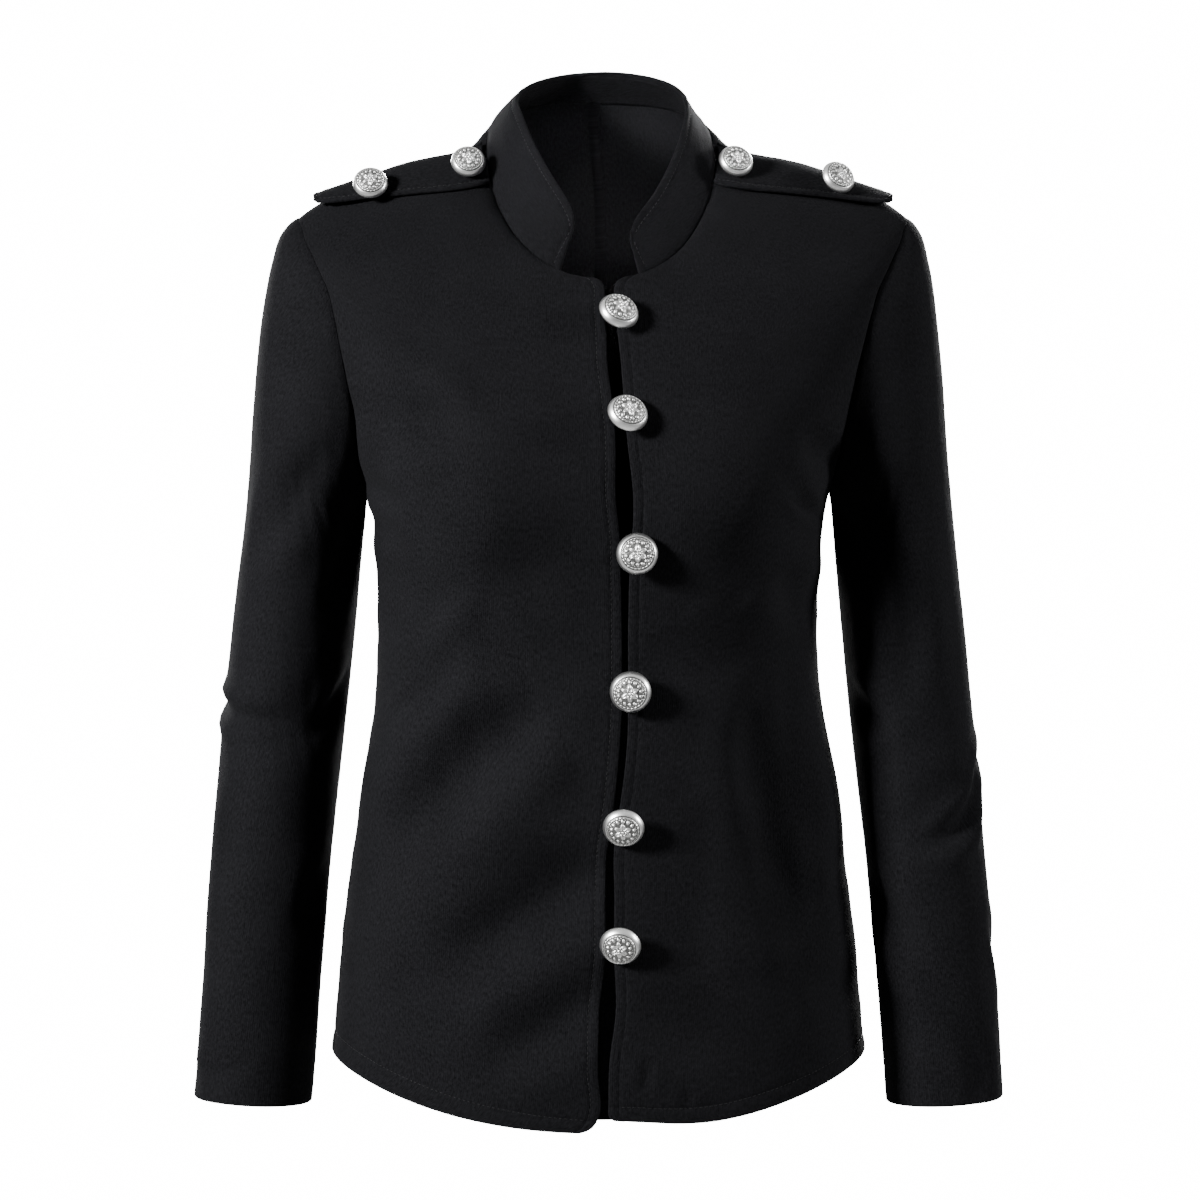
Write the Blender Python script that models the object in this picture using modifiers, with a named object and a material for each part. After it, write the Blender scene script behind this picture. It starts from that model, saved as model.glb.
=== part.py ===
"""Military jacket, women's small: open band collar, fronts that meet edge to edge, shoulder straps
and domed buttons.  It is filled out as if worn, hollow, and open at neck, hem and cuffs.

Frame: metres, +Z up.  +X is the wearer's left and -Y is in front.  The origin is midway between the
two points where the neck seam meets the shoulder seams.  The tables below are in millimetres.
"""
import math
from collections import namedtuple

import bmesh
import bpy
import numpy as np
from mathutils import Vector

MM = 0.001
RIGHT = -1
LEFT = 1
UP = np.array((0.0, 0.0, 1.0))
ACROSS = np.array((1.0, 0.0, 0.0))
AHEAD = np.array((0.0, 1.0, 0.0))

# ---------------------------------------------------------------- cloth, millimetres
CLOTH = 1.6
COLLAR_CLOTH = 2.4
STRAP_CLOTH = 2.6
SEAM_GAP = 0.3

# ---------------------------------------------------------------- body rings, hem to neck
# A ring runs round half of the body: front centre, side, back centre.  front_drop and back_rise tilt
# its two halves, square is 2 for an ellipse and more for a boxier one, and ridge sets how sharply the
# ring falls away from the shoulder line (2 is a round arch, 1 a roof).
Ring = namedtuple("Ring", "side_z front_z back_z front_drop back_rise half_width shift side_y front_y back_y "
                          "square ridge")
RINGS = [Ring(*row) for row in (
    (-584, -620, -650, 0, 0, 173.0, -1.0, 0, -126, 122, 2.2, 2.2),      # hem
    (-498, -512, -524, 0, 0, 165.0, -1.5, 0, -122, 119, 2.2, 1.9),      # hip
    (-418, -424, -430, 0, 0, 153.5, -1.2, 0, -117, 108, 2.2, 2.0),      # high hip
    (-360, -362, -364, 0, 0, 145.0, -1.5, 0, -115, 92, 2.2, 2.0),       # below the waist
    (-308, -308, -308, 0, 0, 142.0, -1.8, 0, -117, 85, 2.2, 2.0),       # waist
    (-260, -260, -260, 0, 0, 143.5, -1.5, 1, -122, 91, 2.3, 2.0),       # under the bust
    (-216, -221, -213, 0, 0, 149.5, -1.0, 2, -127, 101, 2.3, 2.0),      # underarm
    (-165, -190, -158, -2, 2, 169.0, 0.0, 2, -125, 109, 2.25, 1.8),     # chest
    (-115, -163, -108, -4, 4, 185.5, 1.0, 0, -118, 112, 2.15, 1.6),     # across the armhole
    (-74, -138, -66, -6, 6, 193.5, 2.0, -3, -110, 108, 2.0, 1.4),       # top of the armhole
    (-43, -118, -30, -10, 10, 196.0, 2.0, -5, -101, 98, 1.75, 1.3),     # shoulder tip
    (-16, -104, -10, -18, 18, 138.0, 2.0, -4, -91, 86, 1.75, 1.3),      # middle of the shoulder
    (-5, -94, 10, -22, 20, 94.0, 1.0, -2, -84, 75, 2.0, 1.5),           # root of the neck
    (0, -84, 36, -62, 55, 74.0, 0.0, 0, -78, 66, 2.3, 2.0),             # neck seam
)]
HEM, UNDERARM, TIP, NECK = 0.0, 6.0, 10.0, 13.0
RIDGE_ROUND = 0.2
NECK_TURN = 3.0

# ---------------------------------------------------------------- relief of the cut
# Soft mounds over the bust and shoulder blades, and the largest folds, by place on the front or back.
Mound = namedtuple("Mound", "face x z half_x half_z height")
MOUNDS = [Mound(*row) for row in (
    ("front", 82, -222, 50, 56, 15),
    ("front", 0, -400, 60, 70, 3),
    ("back", 78, -112, 48, 62, 7),
    ("back", 62, -530, 62, 66, 7),
)]

# A fold runs from one point to the other; depth is how far it sinks in, and lip how far the cloth
# beside it rises.
Fold = namedtuple("Fold", "face side from_x from_z to_x to_z half_width depth lip")
FOLDS = [Fold(*row) for row in (
    ("front", RIGHT, 52, -345, 150, -468, 19, 5.0, 2.0),
    ("front", RIGHT, 4, -470, 118, -560, 20, 4.5, 2.0),
    ("front", RIGHT, 160, -165, 92, -180, 15, 4.0, 2.0),
    ("front", LEFT, 96, -360, 128, -500, 17, 4.5, 2.0),
    ("front", LEFT, 62, -420, 66, -560, 18, 3.0, 1.5),
    ("front", LEFT, 140, -230, 70, -268, 16, 3.5, 1.5),
    ("back", RIGHT, 18, -292, 128, -340, 17, 4.0, 2.0),
    ("back", RIGHT, 40, -380, 138, -470, 19, 4.0, 2.0),
    ("back", LEFT, 22, -300, 130, -336, 17, 4.5, 2.0),
    ("back", LEFT, 52, -372, 142, -448, 19, 3.5, 2.0),
)]

# ---------------------------------------------------------------- front edges
# The fronts meet edge to edge with a slit between them that narrows at each button.
Edge = namedtuple("Edge", "z right left")
EDGES = [Edge(*row) for row in (
    (-630, -0.5, 5.0), (-600, -0.8, 5.3), (-562, -1.8, 6.4), (-538, 0.0, 10.2), (-512, 3.3, 8.7),
    (-473, 3.4, 8.9), (-440, 5.0, 8.8), (-409, 9.4, 13.2), (-381, 11.8, 16.6), (-356, 13.6, 17.5),
    (-312, 13.8, 17.6), (-270, 13.4, 18.2), (-246, 12.8, 19.8), (-222, 10.3, 20.4), (-184, 9.8, 16.6),
    (-156, 7.0, 14.4), (-138, 4.6, 13.0), (-117, 3.8, 10.6), (-98, 1.3, 7.2), (-80, 0.2, 5.4),
)]
TOP_CORNER = 8.0
HEM_CORNER = {RIGHT: 13.0, LEFT: 4.0}
LEFT_HEM_LIFT = 8.0

# ---------------------------------------------------------------- armhole and sleeve
ARMHOLE_FRONT = math.radians(28.5)
ARMHOLE_BACK = math.radians(29)
Cuffward = namedtuple("Cuffward", "z right_x left_x centre_y half_x half_y rise")
SLEEVE = [Cuffward(*row) for row in (
    (-242, 192.5, 190.8, 8, 39.2, 57, 0),      # upper arm
    (-330, 202.0, 199.4, 8, 40.0, 52, 1),      # above the elbow
    (-385, 207.4, 205.0, 5, 39.7, 49, 2),      # elbow
    (-465, 214.2, 212.4, -4, 38.6, 45, 2),     # forearm
    (-545, 220.2, 219.4, -10, 38.4, 42, 2),    # above the cuff
    (-614, 225.4, 224.0, -14, 38.0, 40, 2),    # cuff
)]
HEAD_FULLNESS = {RIGHT: 0.42, LEFT: 0.33}
Crease = namedtuple("Crease", "side from_turn from_z to_turn to_z half_width depth lip")
CREASES = [Crease(*row) for row in (
    (RIGHT, 0.08, -382, 0.40, -362, 15, 4.0, 2.0),
    (RIGHT, 0.12, -205, 0.42, -236, 15, 3.5, 1.5),
    (RIGHT, 0.62, -350, 0.90, -372, 15, 4.0, 2.0),
    (LEFT, 0.10, -436, 0.40, -400, 15, 4.0, 2.0),
    (LEFT, 0.12, -215, 0.42, -244, 15, 3.5, 1.5),
    (LEFT, 0.60, -372, 0.90, -352, 15, 4.0, 2.0),
)]

# ---------------------------------------------------------------- collar
# Its top edge is a smaller ring that leans in from the neck seam.
COLLAR_TOP_SHIFT = 1.0
COLLAR_TOP_TURN = 6.0
COLLAR_TOP_HALF_WIDTH = 55.0
COLLAR_TOP_FRONT_Y = -70.0
COLLAR_TOP_BACK_Y = 52.0
COLLAR_TOP_SIDE_Z = 33.0
COLLAR_TOP_TILT = -24.0
COLLAR_TOP_FRONT_DROP = -58.0
COLLAR_TOP_BACK_DROP = -2.0
COLLAR_FOOT_START = {RIGHT: math.radians(22), LEFT: math.radians(17)}
COLLAR_TOP_START = {RIGHT: math.radians(18.5), LEFT: math.radians(8)}
COLLAR_ROUND = 13.0
COLLAR_BULGE = {RIGHT: 2.0, LEFT: -1.0}

# ---------------------------------------------------------------- shoulder straps
STRAP_INNER = 12.92
STRAP_OUTER = 10.27
STRAP_LENGTH = 116.0
STRAP_WIDTH_INNER = 33.0
STRAP_WIDTH_OUTER = 38.0
STRAP_FRONT_INNER = 27.0
STRAP_FRONT_OUTER = 20.0
STRAP_BOW = 10.0
STRAP_CLEAR = 0.9
STRAP_END_LIFT = 4.0
STRAP_END_ROUND = 6.0

# ---------------------------------------------------------------- buttons
FRONT_BUTTON = 26.0
STRAP_BUTTON = 22.5
# radius and height of the button's outline as shares of its diameter, from the crown down to the
# end of its shank
BUTTON_PROFILE = (
    (0.0, 0.29), (0.18, 0.28), (0.33, 0.24), (0.44, 0.165), (0.498, 0.06), (0.485, 0.0),
    (0.13, -0.012), (0.09, -0.23), (0.0, -0.23),
)
BUTTON_TURNS = 16
# seat on the left front, and how far the button's face looks up and to the wearer's left, degrees
Seat = namedtuple("Seat", "x z up left")
FRONT_SEATS = [Seat(*row) for row in (
    (8.8, -111.0, 38, 26), (15.2, -174.0, 33, 20), (22.6, -256.5, 4, 4),
    (19.5, -342, -8, -4), (15.0, -425, -24, -4), (13.6, -498.5, -24, -8),
)]
# place along the strap, from its inner end to its outer end, and across it, front edge to back edge
StrapSeat = namedtuple("StrapSeat", "side end along across up left")
STRAP_SEATS = [StrapSeat(*row) for row in (
    (RIGHT, "inner", 0.27, 0.36, 30, 6), (RIGHT, "outer", 0.82, 0.16, 30, 2),
    (LEFT, "inner", 0.24, 0.36, 30, 16), (LEFT, "outer", 0.80, 0.30, 28, 28),
)]

# ---------------------------------------------------------------- mesh steps
BODY_STEPS = 17
ARMHOLE_STEPS = 12
SHOULDER_ROWS = (0.09, 0.2, 0.32, 0.45, 0.58, 0.71, 0.83, 0.93, 1.0)
HEM_ROWS = (0.0, 0.035, 0.085)
FRONT_COLUMNS = 14
BACK_COLUMNS = 11
CAP_STEPS = 7
ARM_STEPS = 14

BLACK_CLOTH = (0.011, 0.011, 0.012, 1.0)
SILVER = (0.62, 0.61, 0.59, 1.0)


# ---------------------------------------------------------------- scene, materials
def clear_scene():
    for thing in list(bpy.data.objects):
        bpy.data.objects.remove(thing, do_unlink=True)


def new_collection(name):
    collection = bpy.data.collections.new(name)
    bpy.context.scene.collection.children.link(collection)
    return collection


def material(name, colour, roughness, metallic):
    made = bpy.data.materials.new(name)
    made.use_nodes = True
    shader = made.node_tree.nodes["Principled BSDF"]
    shader.inputs["Base Color"].default_value = colour
    shader.inputs["Roughness"].default_value = roughness
    shader.inputs["Metallic"].default_value = metallic
    return made


def cloth_material(name):
    return material(name + "_cloth", BLACK_CLOTH, 0.92, 0.0)


def metal_material(name):
    return material(name + "_metal", SILVER, 0.34, 1.0)


# ---------------------------------------------------------------- small geometry
def unit(vector):
    return vector / np.linalg.norm(vector)


def through_rows(rows, place):
    """Smooth values through a table's rows, read at the row number place."""
    last = len(rows) - 1
    k = min(max(int(place), 0), last - 1)
    f = place - k
    b = np.array(rows[k], dtype=float)
    c = np.array(rows[k + 1], dtype=float)
    a = np.array(rows[k - 1], dtype=float) if k > 0 else 2 * b - c
    d = np.array(rows[k + 2], dtype=float) if k + 2 <= last else 2 * c - b
    return b + 0.5 * f * (c - a + f * (2 * a - 5 * b + 4 * c - d + f * (3 * (b - c) + d - a)))


def edge_x(side, z):
    """Where a front's edge lies at height z, from the EDGES table."""
    heights = [row.z for row in EDGES]
    places = [row.right if side == RIGHT else row.left for row in EDGES]
    k = int(np.clip(np.searchsorted(heights, z) - 1, 0, len(heights) - 2))
    return float(through_rows([(x,) for x in places], k + (z - heights[k]) / (heights[k + 1] - heights[k]))[0])


def corner_inset(distance, radius):
    """How far a rounded corner draws an edge back, at this distance from the corner."""
    if distance >= radius:
        return 0.0
    return radius - math.sqrt(max(radius ** 2 - (radius - distance) ** 2, 0.0))


def trough(offset, half_width, depth, lip):
    """Depth of a soft fold at this distance from its line: sunk in the middle, raised beside it."""
    t = offset / half_width
    return -depth * math.exp(-t * t) + lip * math.exp(-((t - 2.0) ** 2))


def fold_relief(point, start, end, half_width, depth, lip):
    along = end - start
    share = float(np.dot(point - start, along) / np.dot(along, along))
    if not -0.2 < share < 1.2:
        return 0.0
    fade = math.sin(math.pi * (share + 0.2) / 1.4) ** 1.5
    away = np.linalg.norm(point - start - share * along)
    return fade * trough(away, half_width, depth, lip)


# ---------------------------------------------------------------- body surface
def ridge_fall(share, power):
    """0 on the shoulder line to 1 at the centre line, rounded over the ridge."""
    low = RIDGE_ROUND ** power
    high = (1 + RIDGE_ROUND ** 2) ** (power / 2)
    return ((share ** 2 + RIDGE_ROUND ** 2) ** (power / 2) - low) / (high - low)


def bare_body(side, turn, level):
    """Point of the body before folds.  turn is 0 at the front centre and pi at the back centre."""
    ring = Ring(*through_rows(RINGS, level))
    power = ring.square
    radius = (abs(math.cos(turn)) ** power + abs(math.sin(turn)) ** power) ** (-1 / power)
    ahead = radius * math.cos(turn)
    depth = ring.side_y - ring.front_y if ahead > 0 else ring.back_y - ring.side_y
    fall = ridge_fall(abs(ahead), ring.ridge)
    if ahead > 0:
        z = ring.side_z + ring.front_drop * ahead + (ring.front_z - ring.side_z - ring.front_drop) * fall
    else:
        z = ring.side_z - ring.back_rise * ahead + (ring.back_z - ring.side_z - ring.back_rise) * fall
    if side == LEFT and ahead > 0 and level < 1:
        z += LEFT_HEM_LIFT * ahead ** 30 * (1 - level) ** 2
    x = ring.shift + side * ring.half_width * radius * math.sin(turn)
    x += NECK_TURN * ahead * max(0.0, level - TIP) / (NECK - TIP)
    return np.array((x, ring.side_y - depth * ahead, z))


def surface_normal(surface, side, turn, level):
    """Outward normal of a surface, from two short steps along it."""
    step = 0.002
    low_turn, high_turn = surface(side, turn - step, level), surface(side, turn + step, level)
    low, high = surface(side, turn, level - step), surface(side, turn, level + step)
    return unit(side * np.cross(high_turn - low_turn, high - low))


def body_relief(side, turn, level):
    """How far the cloth stands off the bare form here."""
    point = bare_body(side, turn, level)
    face = "front" if turn < math.pi / 2 else "back"
    place = np.array((side * point[0], point[2]))
    raised = 0.0
    for mound in MOUNDS:
        if mound.face == face:
            away = ((place[0] - mound.x) / mound.half_x) ** 2 + ((place[1] - mound.z) / mound.half_z) ** 2
            raised += mound.height * math.exp(-away)
    for fold in FOLDS:
        if fold.face == face and fold.side == side:
            start = np.array((fold.from_x, fold.from_z), dtype=float)
            end = np.array((fold.to_x, fold.to_z), dtype=float)
            raised += fold_relief(place, start, end, fold.half_width, fold.depth, fold.lip)
    side_fade = min(1.0, abs(turn - math.pi / 2) / math.radians(22))
    centre_fade = min(1.0, max(0.0, math.pi - turn) / math.radians(10)) if face == "back" else 1.0
    neck_fade = min(1.0, max(0.0, NECK - level) / 1.5)
    return raised * side_fade * centre_fade * neck_fade


def body(side, turn, level):
    return bare_body(side, turn, level) + body_relief(side, turn, level) * surface_normal(
        bare_body, side, turn, level)


# ---------------------------------------------------------------- walls
def wall(name, outer, inward, thickness, closed=False, made_of=None):
    """Closed wall between rows of outer points and the same points moved in along their normals."""
    outer = np.array(outer)
    inner = outer - thickness * np.array(inward)
    rows, columns = outer.shape[:2]
    vertices = np.concatenate((outer.reshape(-1, 3), inner.reshape(-1, 3))) * MM
    skin = rows * columns

    def index(i, j, layer):
        return layer * skin + i * columns + j % columns

    faces = []
    spans = columns if closed else columns - 1
    for layer in (0, 1):
        for i in range(rows - 1):
            for j in range(spans):
                quad = [index(i, j, layer), index(i, j + 1, layer),
                        index(i + 1, j + 1, layer), index(i + 1, j, layer)]
                faces.append(quad if layer == 0 else quad[::-1])
    for i in (0, rows - 1):
        for j in range(spans):
            faces.append([index(i, j, 0), index(i, j, 1), index(i, j + 1, 1), index(i, j + 1, 0)])
    if not closed:
        for j in (0, columns - 1):
            for i in range(rows - 1):
                faces.append([index(i, j, 0), index(i, j, 1), index(i + 1, j, 1), index(i + 1, j, 0)])
    mesh = bpy.data.meshes.new(name)
    mesh.from_pydata([tuple(v) for v in vertices], [], faces)
    shell = bmesh.new()
    shell.from_mesh(mesh)
    bmesh.ops.recalc_face_normals(shell, faces=shell.faces)
    shell.to_mesh(mesh)
    shell.free()
    mesh.shade_smooth()
    mesh.set_sharp_from_angle(angle=math.radians(50))
    mesh.materials.append(made_of)
    made = bpy.data.objects.new(name, mesh)
    jacket.objects.link(made)
    return made


def draw_back(points, ahead, amount):
    """Move a row of edge points back towards the row beside it, to leave a seam gap."""
    return [p + amount * unit(q - p) for p, q in zip(points, ahead)]


# ---------------------------------------------------------------- armhole
def armhole_place(turn_round):
    """Turn and level of the armhole.  turn_round is 0 at the shoulder tip, pi under the arm."""
    level = (UNDERARM + TIP) / 2 + (TIP - UNDERARM) / 2 * math.cos(turn_round)
    reach = ARMHOLE_FRONT if math.sin(turn_round) > 0 else ARMHOLE_BACK
    return math.pi / 2 - reach * math.sin(turn_round), level


def armhole(side, turn_round):
    """Point, sleeve's start, cloth normal on the body, cloth normal on the sleeve, sleeve direction."""
    turn, level = armhole_place(turn_round)
    point = body(side, turn, level)
    step = 0.02
    near = body(side, *armhole_place(turn_round + step)) - body(side, *armhole_place(turn_round - step))
    normal = surface_normal(body, side, turn, level)
    onward = unit(np.cross(normal, near))
    middle = bare_body(side, math.pi / 2, (UNDERARM + TIP) / 2)
    if np.dot(onward, middle - point) < 0:
        onward = -onward
    share = (1 + math.cos(turn_round)) / 2
    heading = unit((0.25 + 0.75 * share) * side * ACROSS - (1.0 - 0.85 * share) * UP
                   - 0.12 * math.sin(turn_round) * AHEAD)
    sleeve_normal = unit(np.cross(near, heading))
    if np.dot(np.cross(onward, normal), np.cross(heading, sleeve_normal)) < 0:
        sleeve_normal = -sleeve_normal
    start = point + SEAM_GAP * unit(onward + heading)
    if np.dot(heading, normal) < 0:
        shared = unit(normal + sleeve_normal)
        return point, start, shared, shared, heading
    return point, start, normal, sleeve_normal, heading


# ---------------------------------------------------------------- body panels
def panel_rows():
    """Each row's level at the free edge, its level at the seam, and its turn round the armhole."""
    share = np.linspace(0, 1, BODY_STEPS + 1)
    rows = [(level, level, None) for level in HEM_ROWS]
    rows += [(UNDERARM * s, UNDERARM * s, None) for s in share if UNDERARM * s > 0.12 and s < 1]
    for k in range(ARMHOLE_STEPS + 1):
        turn_round = math.pi * (1 - k / ARMHOLE_STEPS)
        even = UNDERARM + (TIP - UNDERARM) * k / ARMHOLE_STEPS
        rows.append((even, armhole_place(turn_round)[1], turn_round))
    rows += [(TIP + (NECK - TIP) * s, TIP + (NECK - TIP) * s, None) for s in SHOULDER_ROWS]
    return rows


def front_turn(side, level):
    """Turn of a front's free edge, rounded at its top and bottom corners."""
    z = bare_body(side, 0.0, level)[2]
    x = edge_x(side, z)
    top = bare_body(side, 0.0, NECK)[2]
    hem = bare_body(side, 0.0, HEM)[2]
    x += side * (corner_inset(top - z, TOP_CORNER) + corner_inset(z - hem, HEM_CORNER[side]))
    ring = Ring(*through_rows(RINGS, level))
    return math.atan(side * (x - ring.shift) / ring.half_width)


def body_panel(name, side, face, columns):
    outer, inward = [], []
    across = np.linspace(0, 1, columns)
    for free_level, seam_level, turn_round in panel_rows():
        free_turn = front_turn(side, free_level) if face == "front" else math.pi
        seam_turn = math.pi / 2
        if turn_round is not None:
            seam_turn = armhole_place(turn_round if face == "front" else 2 * math.pi - turn_round)[0]
        turns = free_turn + (seam_turn - free_turn) * across
        levels = free_level + (seam_level - free_level) * across ** 3
        row = [body(side, turn, level) for turn, level in zip(turns, levels)]
        normals = [surface_normal(body, side, turn, level) for turn, level in zip(turns, levels)]
        if turn_round is not None:
            normals[-1] = armhole(side, turn_round if face == "front" else 2 * math.pi - turn_round)[2]
        outer.append(row)
        inward.append(normals)
    inward[-1] = [neck(side, turn)[1] for turn in turns]
    half_gap = SEAM_GAP / 2
    outer[-1] = draw_back(outer[-1], outer[-2], half_gap)
    for row in outer:
        row[-1] = row[-1] + half_gap * unit(row[-2] - row[-1])
        if face == "back":
            row[0] = row[0] + half_gap * unit(row[1] - row[0])
    return wall(name, outer, inward, CLOTH, made_of=cloth_material(name))


# ---------------------------------------------------------------- sleeves
def arm_ring(side, turn_round, place):
    """Point of the sleeve below the armhole; place is a row number of SLEEVE."""
    ring = Cuffward(*through_rows(SLEEVE, place))
    out, ahead = math.cos(turn_round), math.sin(turn_round)
    centre_x = ring.right_x if side == RIGHT else ring.left_x
    return np.array((side * (centre_x + ring.half_x * out), ring.centre_y - ring.half_y * ahead,
                     ring.z + ring.rise * out))


def sleeve_relief(side, turn_round, point):
    raised = 0.0
    girth = 46.0 * 2 * math.pi
    for crease in CREASES:
        if crease.side == side:
            place = np.array((turn_round / (2 * math.pi) * girth, point[2]))
            start = np.array((crease.from_turn * girth, crease.from_z))
            end = np.array((crease.to_turn * girth, crease.to_z))
            raised += fold_relief(place, start, end, crease.half_width, crease.depth, crease.lip)
    return raised


def sleeve_point(side, turn_round, place):
    """Point of the sleeve: place runs from -1 at the armhole through 0 at the upper arm to the cuff."""
    if place >= 0:
        return arm_ring(side, turn_round, place)
    _, start, _, _, heading = armhole(side, turn_round)
    end = arm_ring(side, turn_round, 0.0)
    down = unit(arm_ring(side, turn_round, 0.05) - end)
    reach = np.linalg.norm(end - start)
    t = place + 1
    return ((2 * t ** 3 - 3 * t ** 2 + 1) * start + (t ** 3 - 2 * t ** 2 + t) * HEAD_FULLNESS[side] * reach * heading
            + (3 * t ** 2 - 2 * t ** 3) * end + (t ** 3 - t ** 2) * 1.0 * reach * down)


def sleeve(name, side):
    places = list(np.linspace(-1, 0, CAP_STEPS + 1)) + list(
        np.linspace(0, len(SLEEVE) - 1, ARM_STEPS + 1))[1:]
    around = [2 * math.pi * k / (2 * ARMHOLE_STEPS) for k in range(2 * ARMHOLE_STEPS)]
    grid = np.array([[sleeve_point(side, turn, place) for turn in around] for place in places])
    across = np.roll(grid, -1, axis=1) - np.roll(grid, 1, axis=1)
    down = np.gradient(grid, axis=0)
    normals = side * np.cross(across, down)
    normals /= np.linalg.norm(normals, axis=2, keepdims=True)
    for j, turn in enumerate(around):
        normals[0][j] = armhole(side, turn)[3]
        for i in range(1, len(places)):
            grid[i][j] += sleeve_relief(side, turn, grid[i][j]) * normals[i][j]
    return wall(name, grid, normals, CLOTH, closed=True, made_of=cloth_material(name))


# ---------------------------------------------------------------- collar
def collar_top(side, turn):
    ahead = math.cos(turn)
    depth = -COLLAR_TOP_FRONT_Y if ahead > 0 else COLLAR_TOP_BACK_Y
    drop = COLLAR_TOP_FRONT_DROP if ahead > 0 else COLLAR_TOP_BACK_DROP
    shift = COLLAR_TOP_SHIFT + COLLAR_TOP_TURN * max(ahead, 0.0)
    return np.array((shift + side * COLLAR_TOP_HALF_WIDTH * math.sin(turn), -depth * ahead,
                     COLLAR_TOP_SIDE_Z + COLLAR_TOP_TILT * ahead + drop * ahead ** 2))


def neck(side, turn):
    """Start of the collar, cloth normal on the body and cloth normal on the collar at the neck seam."""
    share = max(0.0, (turn - COLLAR_FOOT_START[side]) / (math.pi - COLLAR_FOOT_START[side]))
    top = collar_top(side, COLLAR_TOP_START[side] + (math.pi - COLLAR_TOP_START[side]) * share)
    point = body(side, turn, NECK)
    normal = surface_normal(body, side, turn, NECK - 0.01)
    onward = unit(point - body(side, turn, NECK - 0.02))
    outward = unit(np.array((point[0], point[1], 0.0)))
    heading = unit(top - point + 4 * COLLAR_BULGE[side] * outward)
    collar_normal = unit(np.cross(heading, body(side, turn + 0.01, NECK) - body(side, turn - 0.01, NECK)))
    if np.dot(collar_normal, outward) < 0:
        collar_normal = -collar_normal
    start = point + SEAM_GAP * unit(onward + heading)
    if np.dot(heading, normal) < 0:
        shared = unit(normal + collar_normal)
        return start, shared, shared
    return start, normal, collar_normal


def collar(name):
    rounding = [COLLAR_ROUND * (1 - math.cos(math.radians(a))) for a in (0, 28, 52, 72, 90)]
    top_length = 115.0
    shares = [r / top_length for r in rounding] + list(np.linspace(0.24, 1, 8))
    shares_round = [(LEFT, s) for s in shares] + [(RIGHT, s) for s in shares[-2::-1]]
    heights = np.linspace(0, 1, 5)
    columns, foot_normals = [], []
    for side, share in shares_round:
        foot, _, foot_normal = neck(side, COLLAR_FOOT_START[side] + (math.pi - COLLAR_FOOT_START[side]) * share)
        foot_normals.append(foot_normal)
        top = collar_top(side, COLLAR_TOP_START[side] + (math.pi - COLLAR_TOP_START[side]) * share)
        rise = np.linalg.norm(top - foot)
        cut = 1 - corner_inset(share * top_length, COLLAR_ROUND) / rise
        outward = unit(np.array((foot[0], foot[1], 0.0)))
        columns.append([foot + (top - foot) * h * cut + COLLAR_BULGE[side] * 4 * h * cut * (1 - h * cut) * outward
                        for h in heights])
    grid = np.array(columns).transpose(1, 0, 2)
    normals = np.cross(np.gradient(grid, axis=1), np.gradient(grid, axis=0))
    normals /= np.linalg.norm(normals, axis=2, keepdims=True)
    if np.dot(normals[2][len(columns) // 2], grid[2][len(columns) // 2]) < 0:
        normals = -normals
    normals[0] = foot_normals
    return wall(name, grid, normals, COLLAR_CLOTH, made_of=cloth_material(name))


# ---------------------------------------------------------------- shoulder straps
def strap_place(side, along, across):
    """Outer point and normal of a strap; along runs outwards, across from its front edge to its back."""
    level = STRAP_INNER + (STRAP_OUTER - STRAP_INNER) * along
    ring = Ring(*through_rows(RINGS, level))
    narrow = corner_inset((1 - along) * STRAP_LENGTH, STRAP_END_ROUND)
    front = STRAP_FRONT_INNER + (STRAP_FRONT_OUTER - STRAP_FRONT_INNER) * along
    front += STRAP_BOW * 4 * along * (1 - along)
    width = STRAP_WIDTH_INNER + (STRAP_WIDTH_OUTER - STRAP_WIDTH_INNER) * along
    y = narrow - front + (width - 2 * narrow) * across
    depth = ring.side_y - ring.front_y if y < ring.side_y else ring.back_y - ring.side_y
    turn = math.acos((ring.side_y - y) / depth)
    normal = surface_normal(body, side, turn, level)
    lift = STRAP_END_LIFT * max(0.0, (along - 0.62) / 0.38) ** 2
    return body(side, turn, level) + (STRAP_CLEAR + STRAP_CLOTH + lift) * normal, normal


def strap(name, side):
    lengths = [0, 0.1, 0.21, 0.32, 0.43, 0.54, 0.65, 0.76, 0.86, 0.94, 0.97, 0.99, 1.0]
    grid, normals = [], []
    for along in lengths:
        row = [strap_place(side, along, across) for across in np.linspace(0, 1, 5)]
        grid.append([point for point, _ in row])
        normals.append([normal for _, normal in row])
    return wall(name, grid, normals, STRAP_CLOTH, made_of=cloth_material(name))


# ---------------------------------------------------------------- buttons
def button(name, diameter, seat, normal, axis):
    """Domed button on a shank whose end stands on the cloth at seat; axis is the way its face looks."""
    profile = [(radius * diameter * MM, 0.0, height * diameter * MM) for radius, height in BUTTON_PROFILE]
    mesh = bpy.data.meshes.new(name)
    mesh.from_pydata(profile, [(k, k + 1) for k in range(len(profile) - 1)], [])
    made = bpy.data.objects.new(name, mesh)
    jacket.objects.link(made)
    turned = made.modifiers.new("turned", "SCREW")
    turned.steps = BUTTON_TURNS
    turned.render_steps = BUTTON_TURNS
    turned.use_merge_vertices = True
    turned.merge_threshold = 0.00005
    turned.use_smooth_shade = True
    shank = -BUTTON_PROFILE[-1][1] * diameter
    foot = BUTTON_PROFILE[-2][0] * diameter * np.linalg.norm(np.cross(normal, axis))
    made.location = Vector(seat + (SEAM_GAP + foot) * normal + shank * axis) * MM
    made.rotation_mode = "QUATERNION"
    made.rotation_quaternion = Vector(axis).to_track_quat("Z", "Y")
    made.data.materials.append(metal_material(name))
    return made


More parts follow.
